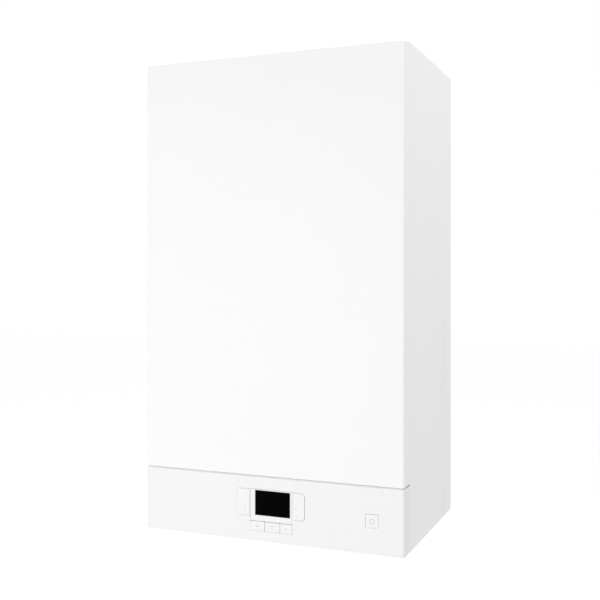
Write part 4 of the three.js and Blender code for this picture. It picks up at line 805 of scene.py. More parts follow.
def joined(*meshes):
    """Several meshes in one, each keeping its own closed skins."""
    whole = bmesh.new()
    for mesh in meshes:
        if isinstance(mesh, bmesh.types.BMesh):
            held = bpy.data.meshes.new("part")
            mesh.to_mesh(held)
            mesh.free()
            mesh = held
        whole.from_mesh(mesh)
    return whole


TREES = {}
FINISH = {}


# ---- Settings ----------------------------------------------------------------------------------

class CasingSettings(bpy.types.PropertyGroup):
    edge: FloatProperty(name="Front edges", description="Radius of the upright front edges",
                        default=0.003, min=0.001, max=0.01, unit="LENGTH")
    fold: FloatProperty(name="Folds", description="Radius of the other folds of the sheet",
                        default=0.0012, min=0.0005, max=0.003, unit="LENGTH")
    sheet: FloatProperty(name="Sheet", description="Thickness of the painted steel",
                         default=0.001, min=0.0005, max=0.002, unit="LENGTH")
    paint: FloatVectorProperty(name="Paint", description="Colour of the powder coat",
                               default=BASE["white_paint"], subtype="COLOR", min=0, max=1)
    zinc: FloatVectorProperty(name="Zinc", description="Colour of the galvanised frame",
                              default=BASE["galvanised_steel"], subtype="COLOR", min=0, max=1)


class ControlSettings(bpy.types.PropertyGroup):
    plastic: FloatVectorProperty(name="Fascia", description="Colour of the fascia's plastic",
                                 default=BASE["white_plastic"], subtype="COLOR", min=0, max=1)
    ink: FloatVectorProperty(name="Marks", description="Ink of the marks on the keys",
                             default=(0.6, 0.61, 0.63), subtype="COLOR", min=0, max=1)
    edge: FloatProperty(name="Key edges", description="Radius round each key's face",
                        default=0.0005, min=0.0001, max=0.001, unit="LENGTH")


class BurnerSettings(bpy.types.PropertyGroup):
    casting: FloatVectorProperty(name="Castings", description="Colour of the cast aluminium",
                                 default=BASE["cast_aluminium"], subtype="COLOR", min=0, max=1)
    blades: IntProperty(name="Fan blades", description="Blades of the fan wheel", default=9, min=6,
                        max=48)


class WaterSettings(bpy.types.PropertyGroup):
    copper: FloatVectorProperty(name="Copper", description="Colour of the copper pipes",
                                default=BASE["copper"], subtype="COLOR", min=0, max=1)
    brass: FloatVectorProperty(name="Brass", description="Colour of the brass blocks",
                               default=BASE["brass"], subtype="COLOR", min=0, max=1)
    bend: FloatProperty(name="Bends", description="Bend radius of the pipes",
                        default=0.02, min=0.015, max=0.03, unit="LENGTH")


class StageSettings(bpy.types.PropertyGroup):
    eye: FloatVectorProperty(name="Camera", description="Where the camera stands",
                             default=(0.5445, -1.499, -0.298), subtype="TRANSLATION", unit="LENGTH")
    turn: FloatProperty(name="Turn", description="How far the camera is turned about the vertical",
                        default=math.radians(22.207), subtype="ANGLE", unit="ROTATION")
    lens: FloatProperty(name="Lens", description="Focal length on a 36 mm sensor", default=53.83)
    shift: FloatProperty(name="Shift", description="Vertical shift of the lens", default=-0.0392)
    sky: FloatProperty(name="Room light", description="Level of the light from all round",
                       default=0.62)
    key: FloatProperty(name="Front light", description="Power of the soft light in front",
                       default=39.6)
    fill: FloatProperty(name="Side light", description="Power of the soft light on the right",
                        default=14.5)


SETTINGS = (
    ("casing", CasingSettings), ("control", ControlSettings), ("burner", BurnerSettings),
    ("water", WaterSettings), ("stage", StageSettings),
)


def settings(name):
    return getattr(bpy.context.scene, "boiler_" + name)


# ---- Casing ------------------------------------------------------------------------------------

def folded_box(outline, half, upright, fold, rear):
    """A box pushed out of a (y, z) outline, with round front corners and round edges all round."""
    nose = min(y for y, _ in outline)
    shape = skin([[(x, y, z) for y, z in outline] for x in (-half, half)])

    def round_off(edges, radius, steps):
        bmesh.ops.bevel(shape, geom=edges, offset=radius, segments=steps, profile=0.5,
                        affect="EDGES", clamp_overlap=True)
        bmesh.ops.recalc_face_normals(shape, faces=shape.faces)

    uprights = [e for e in shape.edges
                if all(abs(v.co.y - nose) < 1e-4 for v in e.verts)
                and abs(e.verts[0].co.x - e.verts[1].co.x) < 1e-4]
    round_off(uprights, upright, 8)
    folds = [e for e in shape.edges if e.calc_face_angle(0.0) > 0.5
             and not all(v.co.y > rear for v in e.verts)]
    round_off(folds, fold, 4)
    return shape


def open_at_rear(shape, rear, lip=None, lip_depth=0.0):
    """Cuts a box open at the back, and behind a lip at its bottom."""
    everything = shape.verts[:] + shape.edges[:] + shape.faces[:]
    bmesh.ops.bisect_plane(shape, geom=everything, plane_co=(0, rear, 0), plane_no=(0, 1, 0),
                           clear_outer=True)
    if lip is not None:
        everything = shape.verts[:] + shape.edges[:] + shape.faces[:]
        bmesh.ops.bisect_plane(shape, geom=everything, plane_co=(0, lip_depth, 0),
                               plane_no=(0, 1, 0))
        behind = [f for f in shape.faces if f.calc_center_median().y > lip_depth
                  and f.calc_center_median().z < lip + 1.5 and f.normal.z < -0.5]
        bmesh.ops.delete(shape, geom=behind, context="FACES")
    return shape


def front_cover():
    """Painted steel cover with folded returns, a sloping top and a lip along its bottom."""
    given = settings("casing")
    (_, half), (nose, rear), (low, high) = span("front_cover")
    outline = [(nose, low), (rear + 5, low), (rear + 5, high), (nose + 27, high), (nose, high - 5)]
    shape = folded_box(outline, half, given.edge * 1000, given.fold * 1000, rear + 4)
    open_at_rear(shape, rear - 0.3, low, nose + 15)
    piece("front_cover_panel", sheeted(shape, given.sheet * 1000), FINISH["white_paint"],
          ["front_cover"])


def side_panel(name, side):
    """Sheet with a folded front flange and the pressed groove that runs up near the wall."""
    given = settings("casing")
    (x0, x1), (front, _), (low, high) = span(name)
    outer = max(abs(x0), abs(x1))
    inner = min(abs(x0), abs(x1))
    turn = arc((outer - 1.0, front + 1.0), 1.0, -math.pi / 2, 0.0, 4)
    line = [(inner, front)] + turn
    flange_count = len(line)
    groove = [-57.0 + t for t in (-1.9, -1.6, -1.47, -1.35, -1.23, -1.1, 0.0, 1.1, 1.23, 1.35, 1.47,
                                  1.6, 1.9)]
    line += [(outer, y) for y in groove] + [(outer, 0.0)]
    ends = (328.0, 341.0, 350.0)
    levels = [low] + [e + t for e in ends for t in (-1.6, -1.2, -0.8, -0.4, 0.0)] + [350.4, high]
    levels = sorted(set(levels))

    def smooth(t):
        t = min(max(t, 0.0), 1.0)
        return t * t * (3 - 2 * t)

    def depth(y, z):
        across = 1 - smooth((abs(y + 57.0) - 1.1) / 0.5)
        along = max(smooth((328.0 - z) / 1.5),
                    min(smooth((z - 340.5) / 1.5), smooth((350.3 - z) / 1.5)))
        return 1.8 * across * along

    shape = bmesh.new()
    grid = []
    for z in levels:
        row = []
        for index, (x, y) in enumerate(line):
            top = high - 1.3 if index < flange_count - 3 else high
            row.append(shape.verts.new((side * (x - depth(y, z)), y, min(z, top))))
        grid.append(row)
    for low_row, high_row in zip(grid, grid[1:]):
        for i in range(len(line) - 1):
            shape.faces.new((low_row[i], low_row[i + 1], high_row[i + 1], high_row[i]))
    bmesh.ops.recalc_face_normals(shape, faces=shape.faces)
    if (shape.faces[-1].normal.x > 0) != (side > 0):
        bmesh.ops.reverse_faces(shape, faces=shape.faces)
    sheet = sheeted(shape, given.sheet * 1000)
    stud = span("cover_stud_right" if side > 0 else "cover_stud_left")
    x = side * (outer - 8.5)
    hole = rod("y", (x, 0, middle(stud[2])), (front - 2, front + 3), 3.7, 0)
    piece(name.replace("panel", "sheet"), fused([sheet], [hole]), FINISH["white_paint"], [name])


def tray(x, y, z, open_side, thickness, fold):
    """A folded sheet tray: a block whose named side is open."""
    shape = block(x, y, z, 0)
    axis = "xyz".index(open_side[1])
    sign = 1 if open_side[0] == "+" else -1
    face = [f for f in shape.faces if f.normal[axis] * sign > 0.9]
    bmesh.ops.delete(shape, geom=face, context="FACES")
    edges = [e for e in shape.edges if len(e.link_faces) == 2]
    bmesh.ops.bevel(shape, geom=edges, offset=fold, segments=4, profile=0.5, affect="EDGES",
                    clamp_overlap=True)
    bmesh.ops.recalc_face_normals(shape, faces=shape.faces)
    if sum((f.calc_center_median()[axis] - middle((x, y, z)[axis])) * f.normal[axis]
           for f in shape.faces) < 0:
        bmesh.ops.reverse_faces(shape, faces=shape.faces)
    return sheeted(shape, thickness)


def bead(outline, rise):
    """A soft ridge over an outline, from pairs of inset and height."""
    return skin([[(u, height, v) for u, v in offset(outline, inset)] for inset, height in rise])


def back_frame():
    """Galvanised back with folded edges, two pressed beads and the slots it hangs from."""
    x, y, z = span("back_frame")
    shell = tray(x, (y[1] - 15.2, y[1]), z, "-y", 1.2, 1.6)
    ridges, cuts = [], []
    for side in (-1, 1):
        centre = side * 125.0
        outline = oblong((centre - 9, centre + 9), (50.5, 641.0), 9, 8)
        ridges.append(bead(outline,
                           ((0, -0.6), (1.2, -1.6), (3.0, -2.7), (5.2, -3.6), (7.2, -4.05),
                            (8.6, -4.2))))
        cuts.append(bead(outline,
                         ((1.0, 1.0), (1.6, -0.4), (3.2, -1.5), (5.4, -2.4), (7.4, -2.85),
                          (8.6, -3.0))))
        slot = side * 120.0
        cuts.append(pressed(oblong((slot - 20, slot + 20), (HANG - 6, HANG + 6), 2.5), "y",
                            (-5, 2)))
    piece("back_frame_sheet", fused([shell, *ridges], cuts), FINISH["galvanised_steel"],
          ["back_frame"])


def bottom_plate():
    """Galvanised bottom tray with a round hole for each tail and for the trap's spigot."""
    x, y, z = span("bottom_plate")
    shell = tray(x, y, (z[0], z[0] + 14.0), "+z", 1.2, 1.5)
    cuts = [rod("z", (tail_x, -75.0, 0), (-2, 5), radius + 1.0, 0)
            for tail_x, radius in TAILS]
    cuts.append(rod("z", (30.0, -135.0, 0), (-2, 5), 12.0, 0))
    cuts.append(block((x[0] - 1, x[1] + 1), (-15.5, y[1] + 1), (z[0] + 1.25, 20), 0))
    piece("bottom_tray", fused([shell], cuts), FINISH["galvanised_steel"], ["bottom_plate"])


def top_plate():
    """Painted top, with a round hole under the flue collar and tabs that carry the cover."""
    x, y, z = span("top_plate")
    sheet = block(x, (y[1] - 259.2, y[1]), (z[1] - 1, z[1]), 0.25)
    parts = [block((s * (x[1] - 1), s * x[1]), (-257.9, -16.0), (z[1] - 14, z[1] - 0.4),
                   0.25) for s in (-1, 1)]
    for s in (-1, 1):
        middle_x = s * 115.0
        parts.append(block((middle_x - 15, middle_x + 15), (-264.0, -251.2),
                           (z[1] - 2.3, z[1] - 1.3), 0.2))
        parts.append(block((middle_x - 15, middle_x + 15), (-255.2, -251.2),
                           (z[1] - 2.0, z[1] - 0.5), 0))
    hole = rod("z", (0, -115.0, 0), (700, 740), 47.6, 0, 96)
    piece("top_sheet", fused([sheet, *parts], [hole]), FINISH["white_paint"], ["top_plate"])


def cover_stud(name, side):
    """Bracket spot-welded in the cover's return, with its ball stud."""
    x, y, z = span(name)
    low, high = z
    outer = max(abs(x[0]), abs(x[1]))
    leg = block((side * (outer - 1.5), side * outer), (y[0], -263.0), (low, high), 0.3)
    shelf = block((side * (207.5 - 16), side * outer), (-264.5, -263.0), (low, high), 0.3)
    profile = [(0, -263.6), (2.5, -263.6), (2.5, -257.2), (3.1, -255.4), (3.1, -253.6),
               (1.8, -251.4), (0, -251.0)]
    ball = turned(profile, "y", (side * 199.0, 0, middle(z)), 0.8, 32)
    piece(name.replace("cover_stud", "ball_stud"), fused([leg, shelf, ball]),
          FINISH["stainless_steel"], [name])


# ---- Operators: casing -------------------------------------------------------------------------

class BOILER_OT_casing(bpy.types.Operator):
    """Make the cover, sides, top, back and bottom of the case"""
    bl_idname = "boiler.casing"
    bl_label = "Casing"

    def execute(self, context):
        front_cover()
        for name, side in (("side_panel_left", -1), ("side_panel_right", 1)):
            side_panel(name, side)
        top_plate()
        back_frame()
        bottom_plate()
        for name, side in (("cover_stud_left", -1), ("cover_stud_right", 1)):
            cover_stud(name, side)
        dress(["hinge_bracket_left", "hinge_bracket_right"], FINISH["galvanised_steel"])
        dress(["cover_clip_left", "cover_clip_right"], FINISH["stainless_steel"])
        return {"FINISHED"}


def pan_screw(radius):
    """Pan-head screw with a cross recess, its seat at the origin, pointing along Z."""
    height = 2.0
    head = turned([(0, -1.5), (radius, -1.5), (radius, 0.3), (radius * 0.7, height * 0.85),
                   (0, height)],
                  "z", (0, 0, 0), 0.5, 24, 2)
    arms = [block((-a, a), (-b, b), (height * 0.35, height + 1), 0) for a,
            b in ((0.45, radius * 0.55), (radius * 0.55, 0.45))]
    return fused([head], arms)


def screws(name, points, turn, nodes, body, radius=3.6):
    """A row of screws at points, all facing one way."""
    start = bpy.data.meshes.new("points")
    start.from_pydata(points, [], [])
    source = scratch(pan_screw(radius))
    mesh = grown(TREES["scatter"], start, Shape=source, Turn=turn)
    bpy.data.objects.remove(source)
    piece(name, mesh, FINISH["screw_zinc"], nodes, 40, body)


class BOILER_OT_screws(bpy.types.Operator):
    """Make the screws that hold the case together"""
    bl_idname = "boiler.screws"
    bl_label = "Casing screws"

    def execute(self, context):
        down = (math.pi, 0, 0)
        screws("bottom_screws", [(x, y, 0.0) for x in (-190, 190) for y in (-160, -30)], down,
               ["bottom_plate"], "case")
        screws("top_screws", [(x, y, CABINET_TOP) for x in (-196, 196) for y in (-240, -20)],
               (0, 0, 0),
               ["top_plate"], "case")
        return {"FINISHED"}


# ---- Control box -------------------------------------------------------------------------------

def fascia():
    """Moulded fascia with round front corners, cut out for the keys, display and switch."""
    given = settings("casing")
    (_, half), (nose, rear), (low, high) = span("fascia")
    hinge = (rear - HINGE_INSET, low + HINGE_INSET)
    outline = [(nose, low), (rear + 5, low), (rear + 5, high), (nose, high)]
    outer = folded_box(outline, half, given.edge * 1000, 1.0, rear + 4)
    wall = 2.5
    hollow = block((-half + wall, half - wall), (nose + wall, rear + 9), (low + wall, high - wall),
                   0.8)
    room = half - wall
    corner = [(hinge[0], low - 2), (rear + 6, low - 2), (rear + 6, hinge[1])]
    corner += list(reversed(arc(hinge, HINGE_INSET, -math.pi / 2, 0.0, 12)))
    cuts = [
        hollow,
        block((-half - 2, half + 2), (rear, rear + 12), (low - 3, high + 3), 0),
        block((-room, room), (hinge[0] - 7, rear + 9), (low - 2, low + wall + 1), 0),
        block((-room, room), (nose + 12, rear + 9), (high - wall - 1, high + 2), 0),
        pressed(corner, "x", (-half - 5, half + 5)),
        pressed(oblong((-51.85, -20.0), (35.85, 76.05), 5.3), "y", (nose - 2, nose + 6)),
        pressed(oblong((30.0, 58.5), (35.85, 76.1), 5.5), "y", (nose - 2, nose + 6)),
        block((-29.45, 38.45), (nose - 2, nose + 6), (14.75, 76.9), 0),
        pressed(oblong((150.5, 170.2), (37.25, 56.95), 2.3), "y", (nose - 2, nose + 6)),
    ]
    lugs, pin_bores = [], []
    for lug in ((-186.0, -180.0), (180.0, 186.0)):
        lugs.append(rod("x", (0, hinge[0], hinge[1]), lug, 5.1, 0.3))
        lugs.append(block(lug, (nose + 1.5, hinge[0]), (low + 2.0, low + 10.0), 0.4))
        pin_bores.append(rod("x", (0, hinge[0], hinge[1]), (lug[0] - 2, lug[1] + 2), 2.9, 0))
    shell = fused([outer], cuts)
    posts = []
    for side in (-1, 1):
        for z in (18.0, span("control_box_cover")[2][1] - 9):
            posts.append(rod("y", (side * 168.0, 0, z), (nose + 1.5, -271.3), 4.0, 0.3, 24))
    rib = block((-room, room), (nose + 1.8, nose + 3.2), (high - 1.5, high + 0.98), 0.2)
    mesh = fused([shell, *lugs, *posts, rib], pin_bores)
    piece("fascia_moulding", mesh, FINISH["white_plastic"], ["fascia"])


def display_bezel():
    """Raised frame round the display, with a stepped rebate round its opening that seats the glass.
    """
    x, y, z = span("display_bezel")
    plate = pressed(oblong(x, z, 1.0, 4), "y", (y[0], y[1]), 0.35, 3)
    glass = span("display_window")
    rebate = block((glass[0][0] - 0.3, glass[0][1] + 0.3), (y[0] - 2, y[0] + 2),
                   (glass[2][0] - 0.3, glass[2][1] + 0.3), 0)
    view = block((glass[0][0] + 0.2, glass[0][1] - 0.9), (y[0] - 2, y[1] + 2),
                 (glass[2][0] + 1, glass[2][1] - 0.9), 0)
    piece("display_frame", fused([plate], [rebate, view]), FINISH["white_plastic"],
          ["display_bezel"])
    pane = block(glass[0], glass[1], glass[2], 0.2)
    piece("display_glass", pane, FINISH["black_window"], ["display_window"])


def rocker(name, material):
    """Rocker key, rounded on its outer side, with its pivot bar and feet behind."""
    edge = settings("control").edge * 1000
    x, y, z = span(name)
    radii = [5.0, 0.6, 0.6, 5.0] if middle(x) < 0 else [0.6, 5.0, 5.0, 0.6]
    outline = soften([(x[0], z[0]), (x[1], z[0]), (x[1], z[1]), (x[0], z[1])], radii, 8)
    cap = pressed(outline, "y", (y[0], y[0] + 3.0), edge, 4)
    heart = middle(x)
    half = (x[1] - x[0]) / 2 - 2.7
    mid = middle(z)
    web = block((heart - half, heart + half), (y[0] + 2.5, -286.0), (mid - 1.2, mid + 1.2), 0.2)
    pivot = rod("x", (0, -286.0, mid), (heart - half, heart + half), 1.35, 0.2, 24)
    feet = [rod("y", (heart, 0, mid + away), (y[0] + 2.5, y[1]), 1.8, 0.3, 24) for away in (-8, 8)]
    piece(name + "_key", fused([cap, web, pivot, *feet]), material, [name])


def small_button(name, material):
    edge = settings("control").edge * 1000
    x, y, z = span(name)
    cap = pressed(oblong(x, z, 1.0, 4), "y", (y[0], y[0] + 3.0), edge, 4)
    stem = rod("y", (middle(x), 0, middle(z)), (y[0] + 2.5, y[1]), 2.2, 0.3, 24)
    piece(name + "_key", fused([cap, stem]), material, [name])


def power_button(material):
    edge = settings("control").edge * 1000
    x, y, z = span("power_button")
    cap = pressed(oblong(x, z, 2.0, 6), "y", (y[0], y[0] + 3.0), edge, 4)
    stem = block((middle(x) - 5, middle(x) + 5), (y[0] + 2.5, y[1]), (middle(z) - 5, middle(z) + 5),
                 0.4)
    piece("power_key", fused([cap, stem]), material, ["power_button"])


def control_box_shell():
    """Quarter-round rear shell of the control box, with louvres over its boards."""
    x, _, z = span("control_box_cover")
    hinge_y, hinge_z = -266.0, HINGE_INSET
    radius = z[1] - hinge_z

    def section(inset, front):
        reach = radius - inset
        bottom = hinge_z - 2 + inset
        low = math.asin((bottom - hinge_z) / reach)
        return [(front, hinge_z + reach), (front, bottom)] + arc((hinge_y, hinge_z), reach, low,
                                                                 math.pi / 2, 28)

    outer = pressed(section(0, -271.0), "x", x, 1.5, 3)
    inner = pressed(section(2.0, -280.0), "x", (x[0] + 2, x[1] - 2), 1.0, 2)
    cuts = [inner]
    for i in range(7):
        at = (i - 3) * 22.0
        cuts.append(pressed(oblong((at - 7, at + 7), (hinge_y + 30, hinge_y + 34), 1.9, 5), "z",
                            (20, 100)))
    shell = fused([outer], cuts)
    ears = [block((s * 162.0, s * 174.5) if s > 0 else (-174.5, -162.0), (-271.0, -268.0),
                  (h - 6, h + 6), 0.4)
            for s in (-1, 1) for h in (hinge_z + 12, z[1] - 9)]
    piece("control_box_shell", fused([shell, *ears]), FINISH["dark_plastic"], ["control_box_cover"])


class BOILER_OT_control_box(bpy.types.Operator):
    """Make the fascia, the display and the control box behind them"""
    bl_idname = "boiler.control_box"
    bl_label = "Control box"

    def execute(self, context):
        fascia()
        display_bezel()
        control_box_shell()
        dress(["display_module", "power_switch"], FINISH["dark_plastic"])
        dress(["key_carrier"], FINISH["grey_plastic"])
        dress(["display_board", "main_board"], FINISH["circuit_board"])
        return {"FINISHED"}


class BOILER_OT_keys(bpy.types.Operator):
    """Make the two rockers, the three small buttons and the square button"""
    bl_idname = "boiler.keys"
    bl_label = "Keys"

    def execute(self, context):
        given = settings("control")
        colour, ink = tuple(given.plastic), tuple(given.ink)
        marks = {
            "rocker_left": rocker_marks(-38.5, 36.2, 75.7, tap_sign(-37.0, 46.5)),
            "rocker_right": rocker_marks(46.0, 36.2, 75.7, radiator_sign(45.0, 52.5)),
            "button_left": lambda x, z: bar_mark(x, z, (-17.4, 23.0), (5, 0.7)).larger(
                bar_mark(x, z, (-17.4, 20.8), (5, 0.7))),
            "button_middle": lambda x, z: ring_mark(x, z, (6.85, 21.9), 2.1, 0.7),
            "button_right": lambda x, z: bar_mark(x, z, (28.75, 21.9), (5.4, 0.8)),
            "power_button": lambda x, z: ring_mark(x, z, (160.5, 46.6), 3.4, 0.8).larger(
                bar_mark(x, z, (160.5, 49.6), (0.9, 3.6))),
        }
        for name, pattern in marks.items():
            material = key_plastic("key plastic " + name.replace("_", " "), colour, ink, pattern)
            if name.startswith("rocker"):
                rocker(name, material)
            elif name == "power_button":
                power_button(material)
            else:
                small_button(name, material)
        return {"FINISHED"}


# ---- Burner, fan and flue ----------------------------------------------------------------------

def heat_exchanger():
    """Ribbed plastic shell of the condensing heat exchanger, with its neck and water ports."""
    x, y, z = span("heat_exchanger")
    rear, nose = y[1], y[0]
    flange = (x[1] - x[0]) / 2
    radius = flange - 4
    height = EXCHANGER[1]
    profile = [(0, rear), (radius - 12, rear), (radius - 4, rear - 8)]
    profile += [(radius - 4, nose + 10), (flange, nose + 8), (flange, nose), (radius - 13, nose)]
    profile += [(radius - 13, nose + 3), (0, nose + 3)]
    shell = turned(profile, "y", (0, 0, height), 1.4, 128)
    hoops = []
    for i in range(9):
        place = rear - 18 - i * 14.5
        hoops.append(turned([(radius - 6, place + 2.6), (radius - 0.4, place + 1.6),
                             (radius - 0.4, place - 1.6),
                             (radius - 6, place - 2.6)], "y", (0, 0, height), 0.8, 128))
    neck = rod("z", (0, FLUE_Y, 0), (height, z[1]), 36.7, 0.8, 96)
    lip = rod("z", (0, FLUE_Y, 0), (z[1] - 6, z[1]), 36.7, 1.2, 96)
    ports = [rod("z", (px, -30.0, 0), (z[0], height), radius_here, 0.8, 48)
             for px, radius_here in ((-46.0, 12.0), (46.0, 12.0), (0.0, 9.0))]
    lugs = [block((s * 60.0, s * 76.0) if s > 0 else (-76.0, -60.0), (rear - 14, rear),
                  (height + t, height + t + 12), 1.5)
            for s in (-1, 1) for t in (-66.0, 54.0)]
    seat = rod("z", (0, FLUE_Y, 0), (z[1] - 15, z[1] + 2), 33.0, 0, 96)
    piece("exchanger_shell", fused([shell, *hoops, neck, lip, *ports, *lugs], [seat]),
          FINISH["dark_plastic"],
          ["heat_exchanger"])


def burner_door():
    """Cast door over the burner, held by six studs with nuts."""
    x, y, _ = span("burner_door")
    radius = (x[1] - x[0]) / 2
    rear, nose = y[1], y[0] + 1
    centre = (0, 0, EXCHANGER[1])
    profile = [(0, rear), (radius, rear), (radius, rear - 5), (radius - 8, rear - 7),
               (radius - 26, rear - 7),
               (radius - 32, nose + 2), (radius - 34, nose), (0, nose)]
    plate = turned(profile, "y", centre, 1.4, 128)
    studs = [polar((0, centre[2]), radius - 9, i * math.pi / 3) for i in range(6)]
    bosses = [rod("y", (x_here, 0, z_here), (rear - 4, rear - 8), 8, 0.8, 32) for x_here,
              z_here in studs]
    ribs = []
    for i in range(12):
        angle = math.tau * (i + 0.5) / 12
        a, b = polar((0, centre[2]), radius - 34, angle), polar((0, centre[2]), radius - 12, angle)
        side = (-math.sin(angle) * 1.1, math.cos(angle) * 1.1)
        outline = [(a[0] + side[0], a[1] + side[1]), (a[0] - side[0], a[1] - side[1]),
                   (b[0] - side[0], b[1] - side[1]), (b[0] + side[0], b[1] + side[1])]
        ribs.append(pressed(outline, "y", (rear - 8.6, rear - 5), 0.4))
    piece("door_casting", fused([plate, *bosses, *ribs]), FINISH["cast_aluminium"], ["burner_door"])
    stud = joined(nut("z", (radius - 9, 0, 0), (8.0, 12.0), 10.0),
                  rod("z", (radius - 9, 0, 0), (4, 14.6), 2.6, 0.5, 24))
    piece("door_nuts", ring_of(stud, 6, "y", (0, rear, centre[2])), FINISH["screw_zinc"],
          ["burner_door"],
          30, "case")


def burner_manifold():
    """Cast duct from the fan's outlet up to the middle of the burner door."""
    _, y, z = span("burner_manifold")
    centre = (0, EXCHANGER[1])
    left, right, bottom = FAN_OUTLET - 22, FAN_OUTLET + 22, z[0]
    nose, rear = y[0] + 3, y[1]
    radius = 42.0
    outline = [(left, bottom + 5), (left, bottom), (right, bottom), (right, bottom + 5),
               (right - 4, bottom + 9)]
    outline += arc(centre, radius, -0.45, math.pi + 0.3, 48)
    outline += [(left + 4, bottom + 9)]
    duct = pressed(outline, "y", (nose, rear), 3.0, 4)
    pad = turned([(0, nose - 3), (radius - 8, nose - 3), (radius - 8, nose + 2), (0, nose + 2)],
                 "y", (0, 0, centre[1]), 0.9, 96)
    dome = turned([(0, nose - 2.9), (10, nose - 2.9), (10, nose), (0, nose)], "y",
                  (0, 0, centre[1]), 0.3, 48)
    cuts = [rod("y", (polar(centre, radius - 14, a)[0], 0, polar(centre, radius - 14, a)[1]),
                (nose - 4, nose - 1.4), 2.0, 0, 20)
            for a in (math.pi / 4 + k * math.pi / 2 for k in range(4))]
    piece("manifold_casting", fused([duct, pad, dome], cuts), FINISH["cast_aluminium"],
          ["burner_manifold"])


def electrode(name):
    """Ceramic stem in its fixing plate, with the terminal in front."""
    x, y, z = span(name)
    at = (middle(x), 0, middle(z))
    base = y[1]
    stem = turned([(0, base - 1), (4, base - 1), (4, base - 16), (1.5, base - 17), (1.5, base - 25),
                   (0, base - 25)],
                  "y", at, 0.6, 40)
    collars = [turned([(3, base - k + 0.7), (4, base - k + 0.5), (4, base - k - 0.5),
                       (3, base - k - 0.7)], "y", at, 0.3, 40)
               for k in (5, 8, 11)]
    plate = block((at[0] - 7, at[0] + 7), (base - 2, base), (at[2] - 4.5, at[2] + 4.5), 0.4)
    piece(name + "_stem", fused([plate, stem, *collars]), FINISH["ceramic"], [name])


def scroll(inset, top):
    """Outline of the fan's spiral, which opens into its outlet at the top."""
    radius, growth = 54.0, 12.0
    start = math.acos((radius + growth - 36.0) / radius)
    points = []
    for i in range(97):
        share = i / 96
        points.append(polar(FAN, radius + growth * share - inset,
                            start + share * (math.tau - start)))
    return points + [(FAN_OUTLET + 18 - inset, top), (FAN_OUTLET - 18 + inset, top)]


def fan():
    """Fan: spiral housing, motor, wheel, and the venturi that draws the gas in."""
    _, y, z = span("fan_housing")
    nose, rear = y
    top = z[1]
    body = pressed(scroll(0, top), "y", (nose, rear), 2.0, 3)
    flange = block((FAN_OUTLET - 22, FAN_OUTLET + 22), (nose + 5, rear - 5), (top - 4, top), 0.6)
    hollow = pressed(scroll(4.0, top + 1), "y", (nose + 4, rear - 4))
    inlet = rod("y", (FAN[0], 0, FAN[1]), (rear - 6, rear + 2), 23.5, 0, 64)
    eye = rod("y", (FAN[0], 0, FAN[1]), (nose - 2, nose + 6), 7.0, 0, 48)
    piece("fan_casting", fused([body, flange], [hollow, inlet, eye]), FINISH["cast_aluminium"],
          ["fan_housing"])

    my = span("fan_motor")[1]
    rear_m, end = my[1], my[0]
    can = [(0, rear_m), (37, rear_m), (37, rear_m - 4), (33, rear_m - 6), (33, end + 8),
           (27, end + 2), (17, end), (0, end)]
    shell = turned(can, "y", (FAN[0], 0, FAN[1]), 1.2, 96)
    grooves = [turned([(31.8, end + 12 + 5 * i), (34, end + 12 + 5 * i), (34, end + 13.6 + 5 * i),
                       (31.8, end + 13.6 + 5 * i)],
                      "y", (FAN[0], 0, FAN[1]), 0, 96) for i in range(4)]
    plug = block((FAN[0] - 12, FAN[0] + 12), (rear_m - 26, rear_m - 8), (FAN[1] - 43, FAN[1] - 27),
                 0.8)
    bearing = rod("y", (FAN[0], 0, FAN[1]), (rear_m - 22, rear_m + 2), 4.3, 0, 48)
    piece("fan_motor_can", fused([shell, plug], [*grooves, bearing]), FINISH["dark_plastic"],
          ["fan_motor"])

    ix, iy, _ = span("fan_impeller")
    tip = (ix[1] - ix[0]) / 2
    inner = tip * 0.45
    back, face = nose + 7, iy[1]
    disc = turned([(0, back), (tip, back), (tip, back + 1.5), (9, back + 1.5), (9, back + 12),
                   (0, back + 12)],
                  "y", (FAN[0], 0, FAN[1]), 0.4, 96)
    ring = turned([(inner, face - 1.5), (tip, face - 1.5), (tip, face), (inner, face)], "y",
                  (FAN[0], 0, FAN[1]), 0.3, 96)
    shaft = rod("y", (FAN[0], 0, FAN[1]), (iy[0], back + 1), 4.0, 0.4, 40)
    hub = fused([disc, ring, shaft])
    root, end_r = inner + 1, tip - 0.7
    line = [(root + (end_r - root) * k / 6, 0.35 * (k / 6) ** 1.5) for k in range(7)]
    outer_side = [polar((0, 0), r, -lag) for r, lag in line]
    inner_side = [polar((0, 0), r, -lag - 1.5 / r) for r, lag in reversed(line)]
    blade = pressed(outer_side + inner_side, "z", (-(face - 1) + back + 0.5, -0.0), 0)
    blade_mesh = ring_of(blade, settings("burner").blades, "y", (FAN[0], back + 0.5, FAN[1]))
    piece("fan_wheel_moulding", joined(hub, blade_mesh), FINISH["dark_plastic"], ["fan_impeller"])

    vy = span("venturi")[1]
    near, far = vy
    throat = 18.5
    profile = [(23.5, near), (35.5, near), (35.5, near + 5), (throat + 8, near + 9),
               (throat + 8, near + 36),
               (throat + 16, far - 4), (throat + 16, far), (throat + 12, far), (throat, near + 30),
               (throat, near + 18)]
    piece("venturi_casting", turned(profile, "y", (FAN[0], 0, FAN[1]), 1.6, 96, 4),
          FINISH["cast_aluminium"], ["venturi"])


